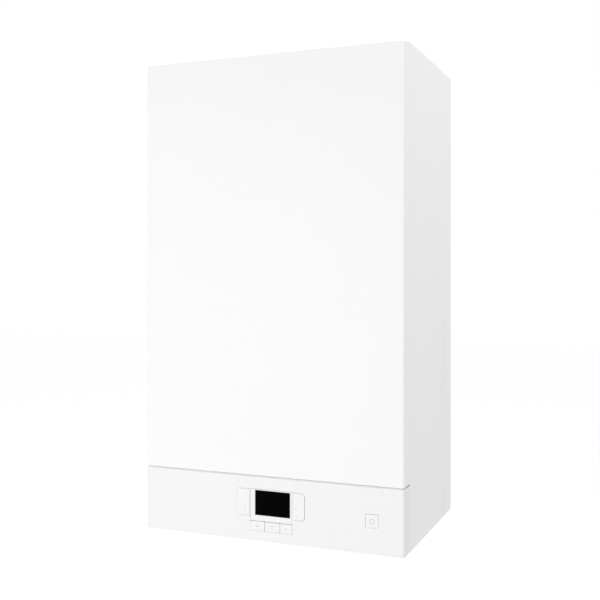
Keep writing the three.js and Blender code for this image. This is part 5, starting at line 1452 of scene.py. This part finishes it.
def gas_train():
    """Gas valve with its coils and governor, and the pipe that feeds the venturi."""
    x, y, z = span("gas_link")
    start = x[1]
    line = (0, middle(y), middle(z))
    link = rod("x", line, (x[0] - 6, start), 8.0, 0.5)
    collar = nut("x", line, (start - 8, start), 22.4)
    room = rod("y", (FAN[0], 0, FAN[1]), (line[1] - 20, line[1] + 20), 26.8, 0, 96)
    piece("gas_link_pipe", fused([link, collar], [room]), FINISH["copper"], ["gas_link"])

    vx, _, vz = span("gas_valve")
    at, top = (middle(vx), line[1]), 418.0
    half = 33.0
    body = pressed(oblong((at[0] - half, at[0] + half), (at[1] - half, at[1] + half), 6, 8), "z",
                   (vz[0], top), 1.2, 3)
    panels = [block((at[0] - 24, at[0] + 24), (at[1] - half - 1, at[1] - half + 1.2),
                    (vz[0] + h, vz[0] + h + 1.4), 0)
              for h in (8.0, 56.0)]
    coils = []
    for side in (-1, 1):
        coils.append(turned([(0, top - 1), (13, top - 1), (13, top + 20), (9, top + 21),
                             (9, top + 24), (0, top + 24)],
                            "z", (at[0] + side * 16, at[1], 0), 1.2, 64))
        coils.append(block((at[0] + side * 16 - 6, at[0] + side * 16 + 6),
                           (at[1] - 13.0 - 5, at[1] - 8), (top + 6, top + 18), 0.8))
    z0 = FAN[1] - 8
    front_y = at[1] - half
    governor = turned([(0, front_y + 1), (15, front_y + 1), (15, front_y - 10), (12, front_y - 14),
                       (0, front_y - 14)],
                      "y", (at[0], 0, z0), 1.0, 64)
    screw = turned([(0, front_y - 13), (7, front_y - 13), (7, front_y - 18), (0, front_y - 18)],
                   "y", (at[0], 0, z0), 0.6, 40)
    slot = block((at[0] - 5, at[0] + 5), (front_y - 19, front_y - 16.6), (z0 - 0.7, z0 + 0.7), 0)
    piece("gas_valve_casting", fused([body, *coils, governor, screw], [slot, *panels]),
          FINISH["cast_aluminium"],
          ["gas_valve"])
    screws("gas_valve_screws",
           [(at[0] + i * 26, front_y + 0.2, z0 + j * 24) for i in (-1, 1) for j in (-1, 1)],
           (math.pi / 2, 0, 0), ["gas_valve"], "case", 2.8)


def flue():
    """Flue duct in the exchanger's neck, and the collar for the concentric flue above the case."""
    _, _, z = span("flue_duct")
    profile = [(29.5, z[0]), (32.7, z[0]), (32.7, z[1]), (30.5, z[1]), (30.5, z[1] - 40),
               (29.5, z[1] - 42)]
    duct = turned(profile, "z", (0, FLUE_Y, 0), 0.5, 96)
    piece("flue_duct_pipe", duct, FINISH["grey_plastic"], ["flue_duct"])

    x, _, z = span("flue_collar")
    low, high = z
    reach = (x[1] - x[0]) / 2
    profile = [(50.6, low), (reach, low), (reach, low + 2), (55.6, low + 3), (53.6, low + 6),
               (53.6, high), (50.6, high)]
    wall = turned(profile, "z", (0, FLUE_Y, 0), 0.6, 128)
    seal = [turned([(50.9, high - h), (50.9, high - h - 2.4), (49.9, high - h - 1.6),
                    (49.9, high - h - 0.8)], "z",
                   (0, FLUE_Y, 0), 0.2, 128) for h in (4.0, 9.0)]
    fins = []
    for i in range(3):
        angle = math.pi / 2 + i * math.tau / 3
        fin = pressed([(33.0, low), (51.6, low), (51.6, low + 12), (33.0, low + 9)], "y", (-1, 1),
                      0.2)
        for vert in fin.verts:
            px, py = polar((0, 0), vert.co.x, angle)
            side = vert.co.y
            vert.co = (px - math.sin(angle) * side, FLUE_Y + py + math.cos(angle) * side, vert.co.z)
        bmesh.ops.recalc_face_normals(fin, faces=fin.faces)
        fins.append(fin)
    piece("flue_collar_moulding", fused([wall, *seal, *fins]), FINISH["dark_plastic"],
          ["flue_collar"])
    screws("collar_screws",
           [(*polar((0, FLUE_Y), reach - 9, math.pi / 4 + k * math.pi / 2),
             low + 2.0) for k in range(4)],
           (0, 0, 0), ["flue_collar"], "case", 3.2)


# ---- Water and gas side ------------------------------------------------------------------------

def threaded_tail(x, radius, top):
    """Threaded tail below the case, with its hexagon."""
    profile = [(0, -38), (radius - 1.5, -38), (radius - 0.8, -36.8), (radius - 0.8, -13),
               (radius - 1.2, -11),
               (radius - 1.2, top), (0, top)]
    core = turned(profile, "z", (x, TAIL_Y, 0), 0.2, 64)
    hexagon_nut = nut("z", (x, TAIL_Y, 0), (-11, -0.4), (radius + 4) * math.sqrt(3.0))
    return [core, hexagon_nut]


def thread_ridge(x, radius):
    mesh = grown(TREES["thread"], Radius=radius - 0.75, Pitch=1.81, Turns=12.5, Depth=0.72)
    mesh.transform(Matrix.Translation((x, TAIL_Y, -36.2)))
    return mesh


def tail_bore(x, radius):
    return rod("z", (x, TAIL_Y, 0), (-40, 20), radius - 5, 0, 40)


def flow_block():
    """Brass flow side: diverting chamber, hot water barrel, and ports for valve and vessel."""
    x, hot = FLOW_X, HOT_X
    at = (x, TAIL_Y, 0)
    shapes = threaded_tail(x, BIG_THREAD, 30) + threaded_tail(hot, SMALL_THREAD, 30)
    shapes += [
        rod("z", at, (24, 150), 16, 1.2),
        nut("z", at, (142, 150), 34.6),
        turned([(15, 132), (17.4, 133), (17.4, 139), (15, 140)], "z", at, 0.6, 64),
        rod("z", (hot, TAIL_Y, 0), (24, 172), 13, 1.2),
        nut("z", (hot, TAIL_Y, 0), (165, 171.6), 24.0),
        rod("x", (0, TAIL_Y, 48), (x, hot), 10, 0.8),
        rod("y", (x, 0, 75), (TAIL_Y - 27, TAIL_Y), 9, 0.8),
        rod("y", (x, 0, 112), (TAIL_Y - 24, TAIL_Y), 7, 0.8),
        rod("y", (x, 0, 128), (TAIL_Y, TAIL_Y + 24), 11, 0.8),
    ]
    shapes += [rod("y", (hot, 0, 137 + away * 23), (TAIL_Y, PLATE_FRONT - 0.3), 9,
                   0.8) for away in (-1, 1)]
    cuts = [rod("z", at, (83, 152), 9, 0, 48), tail_bore(x, BIG_THREAD),
            tail_bore(hot, SMALL_THREAD)]
    body = fused(shapes, cuts)
    piece("flow_block_forging",
          joined(body, thread_ridge(x, BIG_THREAD),
                 thread_ridge(hot, SMALL_THREAD)), FINISH["brass"], ["flow_block"])


def return_block():
    """Brass return side: cold water barrel with its filter, and the seat of the pump."""
    x, cold = RETURN_X, COLD_X
    top = span("pump_housing")[2][0] - 0.3
    shapes = threaded_tail(cold, SMALL_THREAD, 30) + threaded_tail(x, BIG_THREAD, 30)
    shapes += [
        rod("z", (x, TAIL_Y, 0), (24, top), 15, 1.0),
        nut("z", (x, TAIL_Y, 0), (top - 6, top), 32.9),
        rod("z", (cold, TAIL_Y, 0), (24, 172), 13, 1.2),
        nut("z", (cold, TAIL_Y, 0), (165, 171.6), 24.0),
        rod("x", (0, TAIL_Y, 48), (cold, x), 10, 0.8),
        rod("y", (cold, 0, 70), (TAIL_Y - 30, TAIL_Y), 10, 0.8),
        nut("y", (cold, 0, 70), (TAIL_Y - 29.8, TAIL_Y - 22), 18.4),
    ]
    shapes += [rod("y", (cold, 0, 137 + away * 23), (TAIL_Y, PLATE_FRONT - 0.3), 9,
                   0.8) for away in (-1, 1)]
    body = fused(shapes, [tail_bore(cold, SMALL_THREAD), tail_bore(x, BIG_THREAD)])
    piece("return_block_forging",
          joined(body, thread_ridge(cold, SMALL_THREAD),
                 thread_ridge(x, BIG_THREAD)), FINISH["brass"],
          ["return_block"])


def plate_exchanger():
    """Brazed stack of pressed plates between two thicker end plates."""
    x, y, z = span("plate_exchanger")
    core = pressed(oblong((x[0] + 2, x[1] - 2), (z[0] + 2, z[1] - 2), 9, 8), "y",
                   (y[0] + 1.2, y[1]), 0.6)
    plate = pressed(oblong(x, z, 10, 8), "y", (-0.75, 0.75), 0.5, 1)
    source = scratch(plate)
    start = bpy.data.meshes.new("plates")
    count = 20
    pitch = (y[1] - y[0] - 9.0) / (count - 1)
    start.from_pydata([(0, y[1] - 3.6 - i * pitch, 0) for i in range(count)], [], [])
    stack = grown(TREES["scatter"], start, Shape=source)
    bpy.data.objects.remove(source)
    ends = pressed(oblong((x[0] + 6, x[1] - 6), (z[0] + 6, z[1] - 6), 8, 8), "y", (y[0], y[0] + 3),
                   0.8)
    piece("plate_stack", joined(core, stack, ends), FINISH["stainless_steel"], ["plate_exchanger"])


def pump():
    """Pump: cast housing, motor with its terminal box, wheel and air vent."""
    _, y, z = span("pump_housing")
    at = (PUMP[0], 0, PUMP[1])
    nose, rear, radius = y[0], y[1], 38.0
    body = turned([(0, nose), (radius + 4, nose), (radius + 4, nose + 6), (radius, nose + 9),
                   (radius, rear - 8),
                   (radius - 10, rear), (0, rear)], "y", at, 1.6, 96)
    inlet = rod("z", (RETURN_X, TAIL_Y, 0), (z[0], PUMP[1]), 14, 0.8)
    inlet_nut = nut("z", (RETURN_X, TAIL_Y, 0), (z[0], z[0] + 6), 27.0)
    outlet = rod("z", (PUMP[0] + 13, TAIL_Y, 0), (PUMP[1], z[1]), 12, 0.8)
    vent = rod("z", (PUMP[0] - 17, TAIL_Y, 0), (PUMP[1], PUMP[1] + radius + 4), 8, 0.6)
    cavity = rod("y", at, (nose - 2, rear - 14), radius - 7, 0, 96)
    piece("pump_casting", fused([body, inlet, inlet_nut, outlet, vent], [cavity]),
          FINISH["cast_aluminium"],
          ["pump_housing"])

    my = span("pump_motor")[1]
    back, end = my[1], my[0]
    can = turned([(0, back), (radius + 4, back), (radius + 4, back - 6), (radius - 4, back - 8),
                  (radius - 4, end + 6),
                  (radius - 8, end + 2), (8, end), (0, end)], "y", at, 1.4, 96)
    grooves = [turned([(radius - 5.2, back - 12 - 6 * i), (radius - 3, back - 12 - 6 * i),
                       (radius - 3, back - 14 - 6 * i),
                       (radius - 5.2, back - 14 - 6 * i)], "y", at, 0, 96) for i in range(4)]
    cap = turned([(0, end + 1), (7, end + 1), (7, end), (0, end)], "y", at, 0.2, 40)
    terminals = block((PUMP[0] - 22, PUMP[0] + 22), (end + 4, back - 12),
                      (PUMP[1] + 24, PUMP[1] + 46), 1.6, 3)
    lid = block((PUMP[0] - 19, PUMP[0] + 19), (end + 3.6, end + 6), (PUMP[1] + 33, PUMP[1] + 33.8),
                0)
    bearing = rod("y", at, (back - 20, back + 2), 3.8, 0, 40)
    piece("pump_motor_can", fused([can, cap, terminals], [*grooves, lid, bearing]),
          FINISH["dark_plastic"], ["pump_motor"])
    screws("pump_screws",
           [(PUMP[0] + i * 29.0, back - 6.0, PUMP[1] + j * 27.0) for i in (-1, 1) for j in (-1, 1)],
           (math.pi / 2, 0, 0), ["pump_motor"], "case", 2.8)

    ix, iy, _ = span("pump_impeller")
    tip = (ix[1] - ix[0]) / 2
    back_y, face = nose + 2, iy[1]
    disc = turned([(0, back_y), (tip, back_y), (tip, back_y + 2), (0, back_y + 2)], "y", at, 0.4,
                  96)
    shaft = rod("y", at, (iy[0], face - 2), 3.5, 0.4, 40)
    line = [(8 + (tip - 9) * k / 8, 0.95 * (k / 8) ** 1.3) for k in range(9)]
    outer_side = [polar((0, 0), r, -lag) for r, lag in line]
    inner_side = [polar((0, 0), r, -lag - 2.2 / r) for r, lag in reversed(line)]
    vane = pressed(outer_side + inner_side, "z", (-(face - back_y - 1), 0), 0)
    vanes = ring_of(vane, 6, "y", (PUMP[0], back_y + 1, PUMP[1]))
    piece("pump_wheel_moulding", joined(fused([disc, shaft]), vanes), FINISH["grey_plastic"],
          ["pump_impeller"])

    vx, _, vz = span("air_vent")
    place = (middle(vx), TAIL_Y, 0)
    low = vz[0]
    bottle = turned([(0, low), (9, low), (9, low + 3), (14, low + 5), (14, low + 28),
                     (10, low + 31), (5, low + 31),
                     (5, low + 37), (0, low + 37)], "z", place, 1.0, 64)
    cap_nut = turned([(0, low + 33), (4.4, low + 33), (4.4, low + 34.2), (0, low + 34.2)], "z",
                     place, 0, 40)
    flats = nut("z", place, (low + 7, low + 13), 24.0)
    piece("air_vent_body", fused([bottle, flats, cap_nut]), FINISH["brass"], ["air_vent"])


def diverter():
    """Diverter valve's stem and the motor that pushes it."""
    x, _, z = span("diverter_stem")
    at = (middle(x), TAIL_Y, 0)
    stem = turned([(0, z[0]), (7.5, z[0]), (7.5, z[0] + 4), (2.5, z[0] + 6), (2.5, z[1]),
                   (0, z[1])], "z", at, 0.5, 48)
    piece("diverter_valve_stem", stem, FINISH["stainless_steel"], ["diverter_stem"])

    _, y, z = span("diverter_actuator")
    base = z[0]
    skirt = rod("z", at, (base, base + 9), 20, 0.8, 64)
    plan = oblong((at[0] - 20, at[0] + 22), (TAIL_Y - 20, TAIL_Y + 22), 5, 6)
    housing = pressed(plan, "z", (base + 8, z[1]), 1.6, 3)
    plug = block((at[0] - 9, at[0] + 9), (y[0], TAIL_Y - 18), (base + 20, base + 34), 0.8)
    seam = fused([pressed(offset(plan, -3), "z", (base + 36, base + 36.8))],
                 [pressed(offset(plan, 0.6), "z", (base + 35, base + 38))])
    room = rod("z", at, (base - 2, base + 16), 2.8, 0, 40)
    piece("diverter_motor", fused([skirt, housing, plug], [room, seam]), FINISH["grey_plastic"],
          ["diverter_actuator"])


def relief():
    """Relief valve with its outlet, and the knob that lifts it."""
    _, y, z = span("relief_valve")
    at = (FLOW_X, 0, 75.0)
    seat_y = y[1]
    body = turned([(0, seat_y), (11, seat_y), (11, seat_y - 20), (8, seat_y - 24), (8, seat_y - 32),
                   (3, seat_y - 32),
                   (3, seat_y - 40), (0, seat_y - 40)], "y", at, 0.8, 64)
    flats = nut("y", at, (seat_y - 7, seat_y - 0.4), 20.5)
    outlet = rod("z", (at[0], seat_y - 11, 0), (z[0], 75), 8, 0.8)
    way = rod("z", (at[0], seat_y - 11, 0), (z[0] - 2, 67), 5, 0, 40)
    piece("relief_valve_body", fused([body, flats, outlet], [way]), FINISH["brass"],
          ["relief_valve"])

    _, ky, _ = span("relief_knob")
    outline = [polar((at[0], at[2]), 13.5 + math.cos(math.tau * i / 96 * 6) * 1.2,
                     math.tau * i / 96) for i in range(96)]
    grip = pressed(outline, "y", ky, 1.6, 4)
    hub = turned([(0, ky[0] + 1.2), (7, ky[0] + 1.2), (7, ky[0] - 1), (0, ky[0] - 1)], "y", at, 0,
                 48)
    room = rod("y", at, (ky[1] - 10, ky[1] + 2), 3.3, 0, 40)
    piece("relief_knob_grip", fused([grip], [hub, room]), FINISH["red_plastic"], ["relief_knob"])


def expansion_vessel():
    """Flat steel vessel of two pressed dishes, welded round the middle, with its bracket."""
    x, y, z = span("expansion_vessel")
    low = z[0] + 14
    outline = oblong(y, (low, z[1]), 60, 20)
    body = pressed(offset(outline, 1.4), "x", x, 16, 10)
    shallow = pressed(offset(outline, 42.0), "x", (x[1] - 1.2, x[1] + 1), 0)
    weld = pressed(outline, "x", (middle(x) - 2.2, middle(x) + 2.2), 1.2, 3)
    nipple_x = x[0] + 73
    nipple_y = TAIL_Y - 50
    nipple = rod("z", (nipple_x, nipple_y, 0), (z[0], low + 10), 7, 0.6)
    mesh = fused([body, weld, nipple], [shallow])
    piece("vessel_dishes", mesh, FINISH["grey_paint"], ["expansion_vessel"])

    bx, by, bz = span("vessel_bracket")
    shelf = block(bx, by, (bz[0], bz[0] + 1.5), 0.4)
    leg = block(bx, (by[1] - 1.5, by[1]), bz, 0.4)
    gussets = [block((gx - 0.75, gx + 0.75), (by[1] - 14, by[1] - 1), (bz[0] + 0.5, bz[0] + 16),
                     0.3)
               for gx in (bx[0] + 6, bx[1] - 6)]
    hole = rod("z", (nipple_x, nipple_y, 0), (bz[0] - 2, bz[0] + 4), 9, 0, 48)
    piece("vessel_shelf", fused([shelf, leg, *gussets], [hole]), FINISH["galvanised_steel"],
          ["vessel_bracket"])


def pipes():
    """Copper pipes, the braided vessel hose and the rubber condensate hose."""
    bend = settings("water").bend * 1000
    tail_x = FLOW_X
    port = span("heat_exchanger")[2][0] - 0.3
    flow = [(-46, -30, port), (-46, -30, 225), (tail_x, -30, 225), (tail_x, -30, 128),
            (tail_x, TAIL_Y + 24.3, 128)]
    back = [(46, -30, port), (46, -30, 225), (150, -30, 225), (150, TAIL_Y, 225),
            (150, TAIL_Y, span("pump_housing")[2][1] + 0.3)]
    gas = [(0, TAIL_Y, 20.3), (0, TAIL_Y, 265), (112, LINK_Y, 265),
           (112, LINK_Y, span("gas_valve")[2][0] - 0.3)]
    for name, route, here in (("flow_pipe", flow, bend - 2), ("return_pipe", back, bend),
                              ("gas_pipe", gas, bend)):
        piece(name + "_run", piped(route, 9.0, here, 48, 14), FINISH["copper"], [name])

    hose_top = span("vessel_hose")[2][1]
    hose = [(tail_x, TAIL_Y - 50, hose_top), (tail_x, TAIL_Y - 50, 112),
            (tail_x, TAIL_Y - 24.3, 112)]
    sleeves = [rod("z", (tail_x, TAIL_Y - 50, 0), (hose_top - 16, hose_top), 7, 0.5)]
    piece("vessel_hose_braid", piped(hose, 6.6, 20.0, 40, 14), FINISH["braid"], ["vessel_hose"])
    piece("vessel_hose_sleeve", fused(sleeves), FINISH["stainless_steel"], ["vessel_hose"],
          32, "case")

    drain = [(0, -30, port), (0, -30, 300), (30, -135, 300), (30, -135, 148.3)]
    piece("condensate_hose_run", piped(drain, 8.0, 20.0, 40, 14), FINISH["black_rubber"],
          ["condensate_hose"])

    nut_shape = nut("z", (0, TAIL_Y, 0), (8, 20), 26.0)
    shapes = threaded_tail(GAS_X, BIG_THREAD, 12) + [nut_shape]
    body = fused(shapes, [tail_bore(GAS_X, BIG_THREAD)])
    piece("gas_tail_fitting", joined(body, thread_ridge(GAS_X, BIG_THREAD)), FINISH["brass"],
          ["gas_tail"])


def condensate_trap():
    """Bottle trap for the condensate, with its screw cap and spigot."""
    x, y, z = span("condensate_trap")
    at = (middle(x), middle(y), 0)
    base, top, wall = 1.5, z[1], 24.0
    bottle = turned([(0, z[0]), (11, z[0]), (11, base), (wall - 4, base), (wall, base + 6),
                     (wall, top - 26),
                     (wall + 2, top - 26), (wall + 2, top - 14), (12, top - 10), (10, top), (0,
                                                                                             top)],
                    "z", at, 0.9, 80)
    way = rod("z", at, (z[0] - 1, base + 10), 7, 0, 40)
    grips = []
    for i in range(36):
        angle = math.tau * i / 36
        place = polar((at[0], at[1]), wall + 2.4, angle)
        grips.append(rod("z", (*place, 0), (top - 27, top - 13), 0.9, 0, 8))
    piece("trap_bottle", fused([bottle], [way, *grips]), FINISH["grey_plastic"],
          ["condensate_trap"])


class BOILER_OT_burner(bpy.types.Operator):
    """Make the heat exchanger, its door, the manifold and the electrodes"""
    bl_idname = "boiler.burner"
    bl_label = "Burner"

    def execute(self, context):
        heat_exchanger()
        burner_door()
        burner_manifold()
        electrode("ignition_electrode")
        electrode("flame_electrode")
        return {"FINISHED"}


class BOILER_OT_air_and_gas(bpy.types.Operator):
    """Make the fan, the gas valve and the flue"""
    bl_idname = "boiler.air_and_gas"
    bl_label = "Air, gas and flue"

    def execute(self, context):
        fan()
        gas_train()
        flue()
        return {"FINISHED"}


class BOILER_OT_water(bpy.types.Operator):
    """Make the brass blocks, pump, plate exchanger, valves, vessel and pipes"""
    bl_idname = "boiler.water"
    bl_label = "Water side"

    def execute(self, context):
        flow_block()
        return_block()
        plate_exchanger()
        pump()
        diverter()
        relief()
        expansion_vessel()
        pipes()
        condensate_trap()
        return {"FINISHED"}


# ---- Stage -------------------------------------------------------------------------------------

class BOILER_OT_stage(bpy.types.Operator):
    """Make the floor, the soft light and the camera"""
    bl_idname = "boiler.stage"
    bl_label = "Stage"

    def execute(self, context):
        given = settings("stage")
        scene = context.scene
        scene.view_settings.view_transform = "Standard"

        camera_data = bpy.data.cameras.new("camera")
        camera_data.lens = given.lens
        camera_data.sensor_width = 36.0
        camera_data.shift_y = given.shift
        camera = bpy.data.objects.new("camera", camera_data)
        camera.location = given.eye
        camera.rotation_euler = (math.pi / 2, 0.0, given.turn)
        scene.collection.objects.link(camera)
        scene.camera = camera

        world = bpy.data.worlds.new("studio")
        scene.world = world
        world.use_nodes = True
        tree = world.node_tree
        tree.nodes.clear()
        path = tree.nodes.new("ShaderNodeLightPath")
        seen = Number(tree, path.outputs["Is Camera Ray"])
        seen = seen.larger(Number(tree, path.outputs["Is Glossy Ray"]))
        seen = seen.larger(Number(tree, path.outputs["Is Transmission Ray"]))
        room = tree.nodes.new("ShaderNodeBackground")
        room.inputs["Color"].default_value = (1.0, 0.992, 1.0, 1.0)
        room.inputs["Strength"].default_value = given.sky
        white = tree.nodes.new("ShaderNodeBackground")
        white.inputs["Color"].default_value = (1, 1, 1, 1)
        blend = tree.nodes.new("ShaderNodeMixShader")
        tree.links.new(seen.socket, blend.inputs[0])
        tree.links.new(room.outputs[0], blend.inputs[1])
        tree.links.new(white.outputs[0], blend.inputs[2])
        out = tree.nodes.new("ShaderNodeOutputWorld")
        tree.links.new(blend.outputs[0], out.inputs[0])

        def soft_light(name, place, target, size, power):
            data = bpy.data.lights.new(name, "AREA")
            data.shape = "RECTANGLE"
            data.size, data.size_y = size
            data.energy = power
            light = bpy.data.objects.new(name, data)
            light.location = place
            light.rotation_euler = (Vector(target) - Vector(place)).to_track_quat("-Z",
                                                                                  "Y").to_euler()
            scene.collection.objects.link(light)

        soft_light("front_softbox", (-0.75, -2.6, -0.9), (0, -0.1, -0.45), (2.8, 2.8), given.key)
        soft_light("side_softbox", (1.6, -0.35, 1.25), (0.2, -0.15, -0.1), (1.2, 1.2), given.fill)

        floor_mesh = bpy.data.meshes.new("floor")
        reach = 14.0
        floor_mesh.from_pydata([(-reach, -reach, -1.5), (reach, -reach, -1.5), (reach, reach, -1.5),
                                (-reach, reach, -1.5)], [], [(0, 1, 2, 3)])
        floor = bpy.data.objects.new("floor", floor_mesh)
        scene.collection.objects.link(floor)
        pale = bpy.data.materials.new("pale floor")
        pale.use_nodes = True
        tree = pale.node_tree
        tree.nodes.clear()
        matt = tree.nodes.new("ShaderNodeBsdfDiffuse")
        matt.inputs["Color"].default_value = (0.8, 0.8, 0.8, 1)
        path = tree.nodes.new("ShaderNodeLightPath")
        glow = tree.nodes.new("ShaderNodeEmission")
        seen = Number(tree,
                      path.outputs["Is Camera Ray"]).larger(Number(tree,
                                                                   path.outputs["Is Glossy Ray"]))
        tree.links.new((seen * 0.5).socket, glow.inputs["Strength"])
        both = tree.nodes.new("ShaderNodeAddShader")
        tree.links.new(matt.outputs[0], both.inputs[0])
        tree.links.new(glow.outputs[0], both.inputs[1])
        out = tree.nodes.new("ShaderNodeOutputMaterial")
        tree.links.new(both.outputs[0], out.inputs[0])
        floor_mesh.materials.append(pale)
        return {"FINISHED"}


class BOILER_OT_finishes(bpy.types.Operator):
    """Make the finishes and the geometry trees that the pieces share"""
    bl_idname = "boiler.finishes"
    bl_label = "Finishes"

    def execute(self, context):
        casing, control, burner, water = (settings(n) for n in ("casing", "control", "burner",
                                                                "water"))
        FINISH.update({
            "white_paint": white_powder_coat("white powder coat", tuple(casing.paint)),
            "galvanised_steel": galvanised_sheet("galvanised sheet", tuple(casing.zinc)),
            "white_plastic": moulded_plastic("white fascia plastic", tuple(control.plastic), 0.46,
                                             0.2, 0.006),
            "dark_plastic": moulded_plastic("dark moulded plastic", BASE["dark_plastic"], 0.5),
            "grey_plastic": moulded_plastic("grey moulded plastic", BASE["grey_plastic"], 0.5),
            "red_plastic": moulded_plastic("red knob plastic", BASE["red_plastic"], 0.42),
            "black_window": display_glass("black display glass", BASE["black_window"]),
            "circuit_board": circuit_board("green circuit board", BASE["circuit_board"]),
            "stainless_steel": satin_metal("dull stainless steel",
                                           tuple(c * 0.78 for c in BASE["stainless_steel"]), 0.36),
            "screw_zinc": satin_metal("bright zinc screws", (0.46, 0.47, 0.48), 0.34),
            "cast_aluminium": satin_metal("cast aluminium", tuple(c * 0.8 for c in burner.casting),
                                          0.5, 0.35),
            "brass": satin_metal("forged brass", tuple(water.brass), 0.36, 0.2, 0.1),
            "copper": drawn_copper("drawn copper", tuple(water.copper)),
            "ceramic": moulded_plastic("glazed ceramic", BASE["ceramic"], 0.25, 0.05),
            "grey_paint": moulded_plastic("grey vessel paint", BASE["grey_paint"], 0.42, 0.12),
            "black_rubber": moulded_plastic("black rubber", BASE["black_rubber"], 0.75, 0.5),
            "braid": braided_steel("steel braid", BASE["stainless_steel"]),
        })
        TREES.update({"ring": ring_tree(), "scatter": scatter_tree(), "thread": thread_tree()})
        return {"FINISHED"}


class BOILER_PT_panel(bpy.types.Panel):
    """Lists the settings and the steps of the boiler"""
    bl_idname = "BOILER_PT_panel"
    bl_label = "Combi boiler"
    bl_space_type = "VIEW_3D"
    bl_region_type = "UI"
    bl_category = "Boiler"

    def draw(self, context):
        for name, group in SETTINGS:
            box = self.layout.box()
            box.label(text=name.capitalize())
            for label in group.__annotations__:
                box.prop(settings(name), label)
        for step in STEPS:
            self.layout.operator(step.bl_idname)


STEPS = (
    BOILER_OT_finishes, BOILER_OT_stage, BOILER_OT_casing, BOILER_OT_screws, BOILER_OT_control_box,
    BOILER_OT_keys, BOILER_OT_burner, BOILER_OT_air_and_gas, BOILER_OT_water,
)


def register():
    for name, group in SETTINGS:
        bpy.utils.register_class(group)
        setattr(bpy.types.Scene, "boiler_" + name, bpy.props.PointerProperty(type=group))
    for item in (*STEPS, BOILER_PT_panel):
        bpy.utils.register_class(item)


def unregister():
    for item in reversed((*STEPS, BOILER_PT_panel)):
        bpy.utils.unregister_class(item)
    for name, group in reversed(SETTINGS):
        delattr(bpy.types.Scene, "boiler_" + name)
        bpy.utils.unregister_class(group)


def main():
    register()
    for step in STEPS:
        group, name = step.bl_idname.split(".")
        getattr(getattr(bpy.ops, group), name)()


if __name__ == "__main__":
    main()
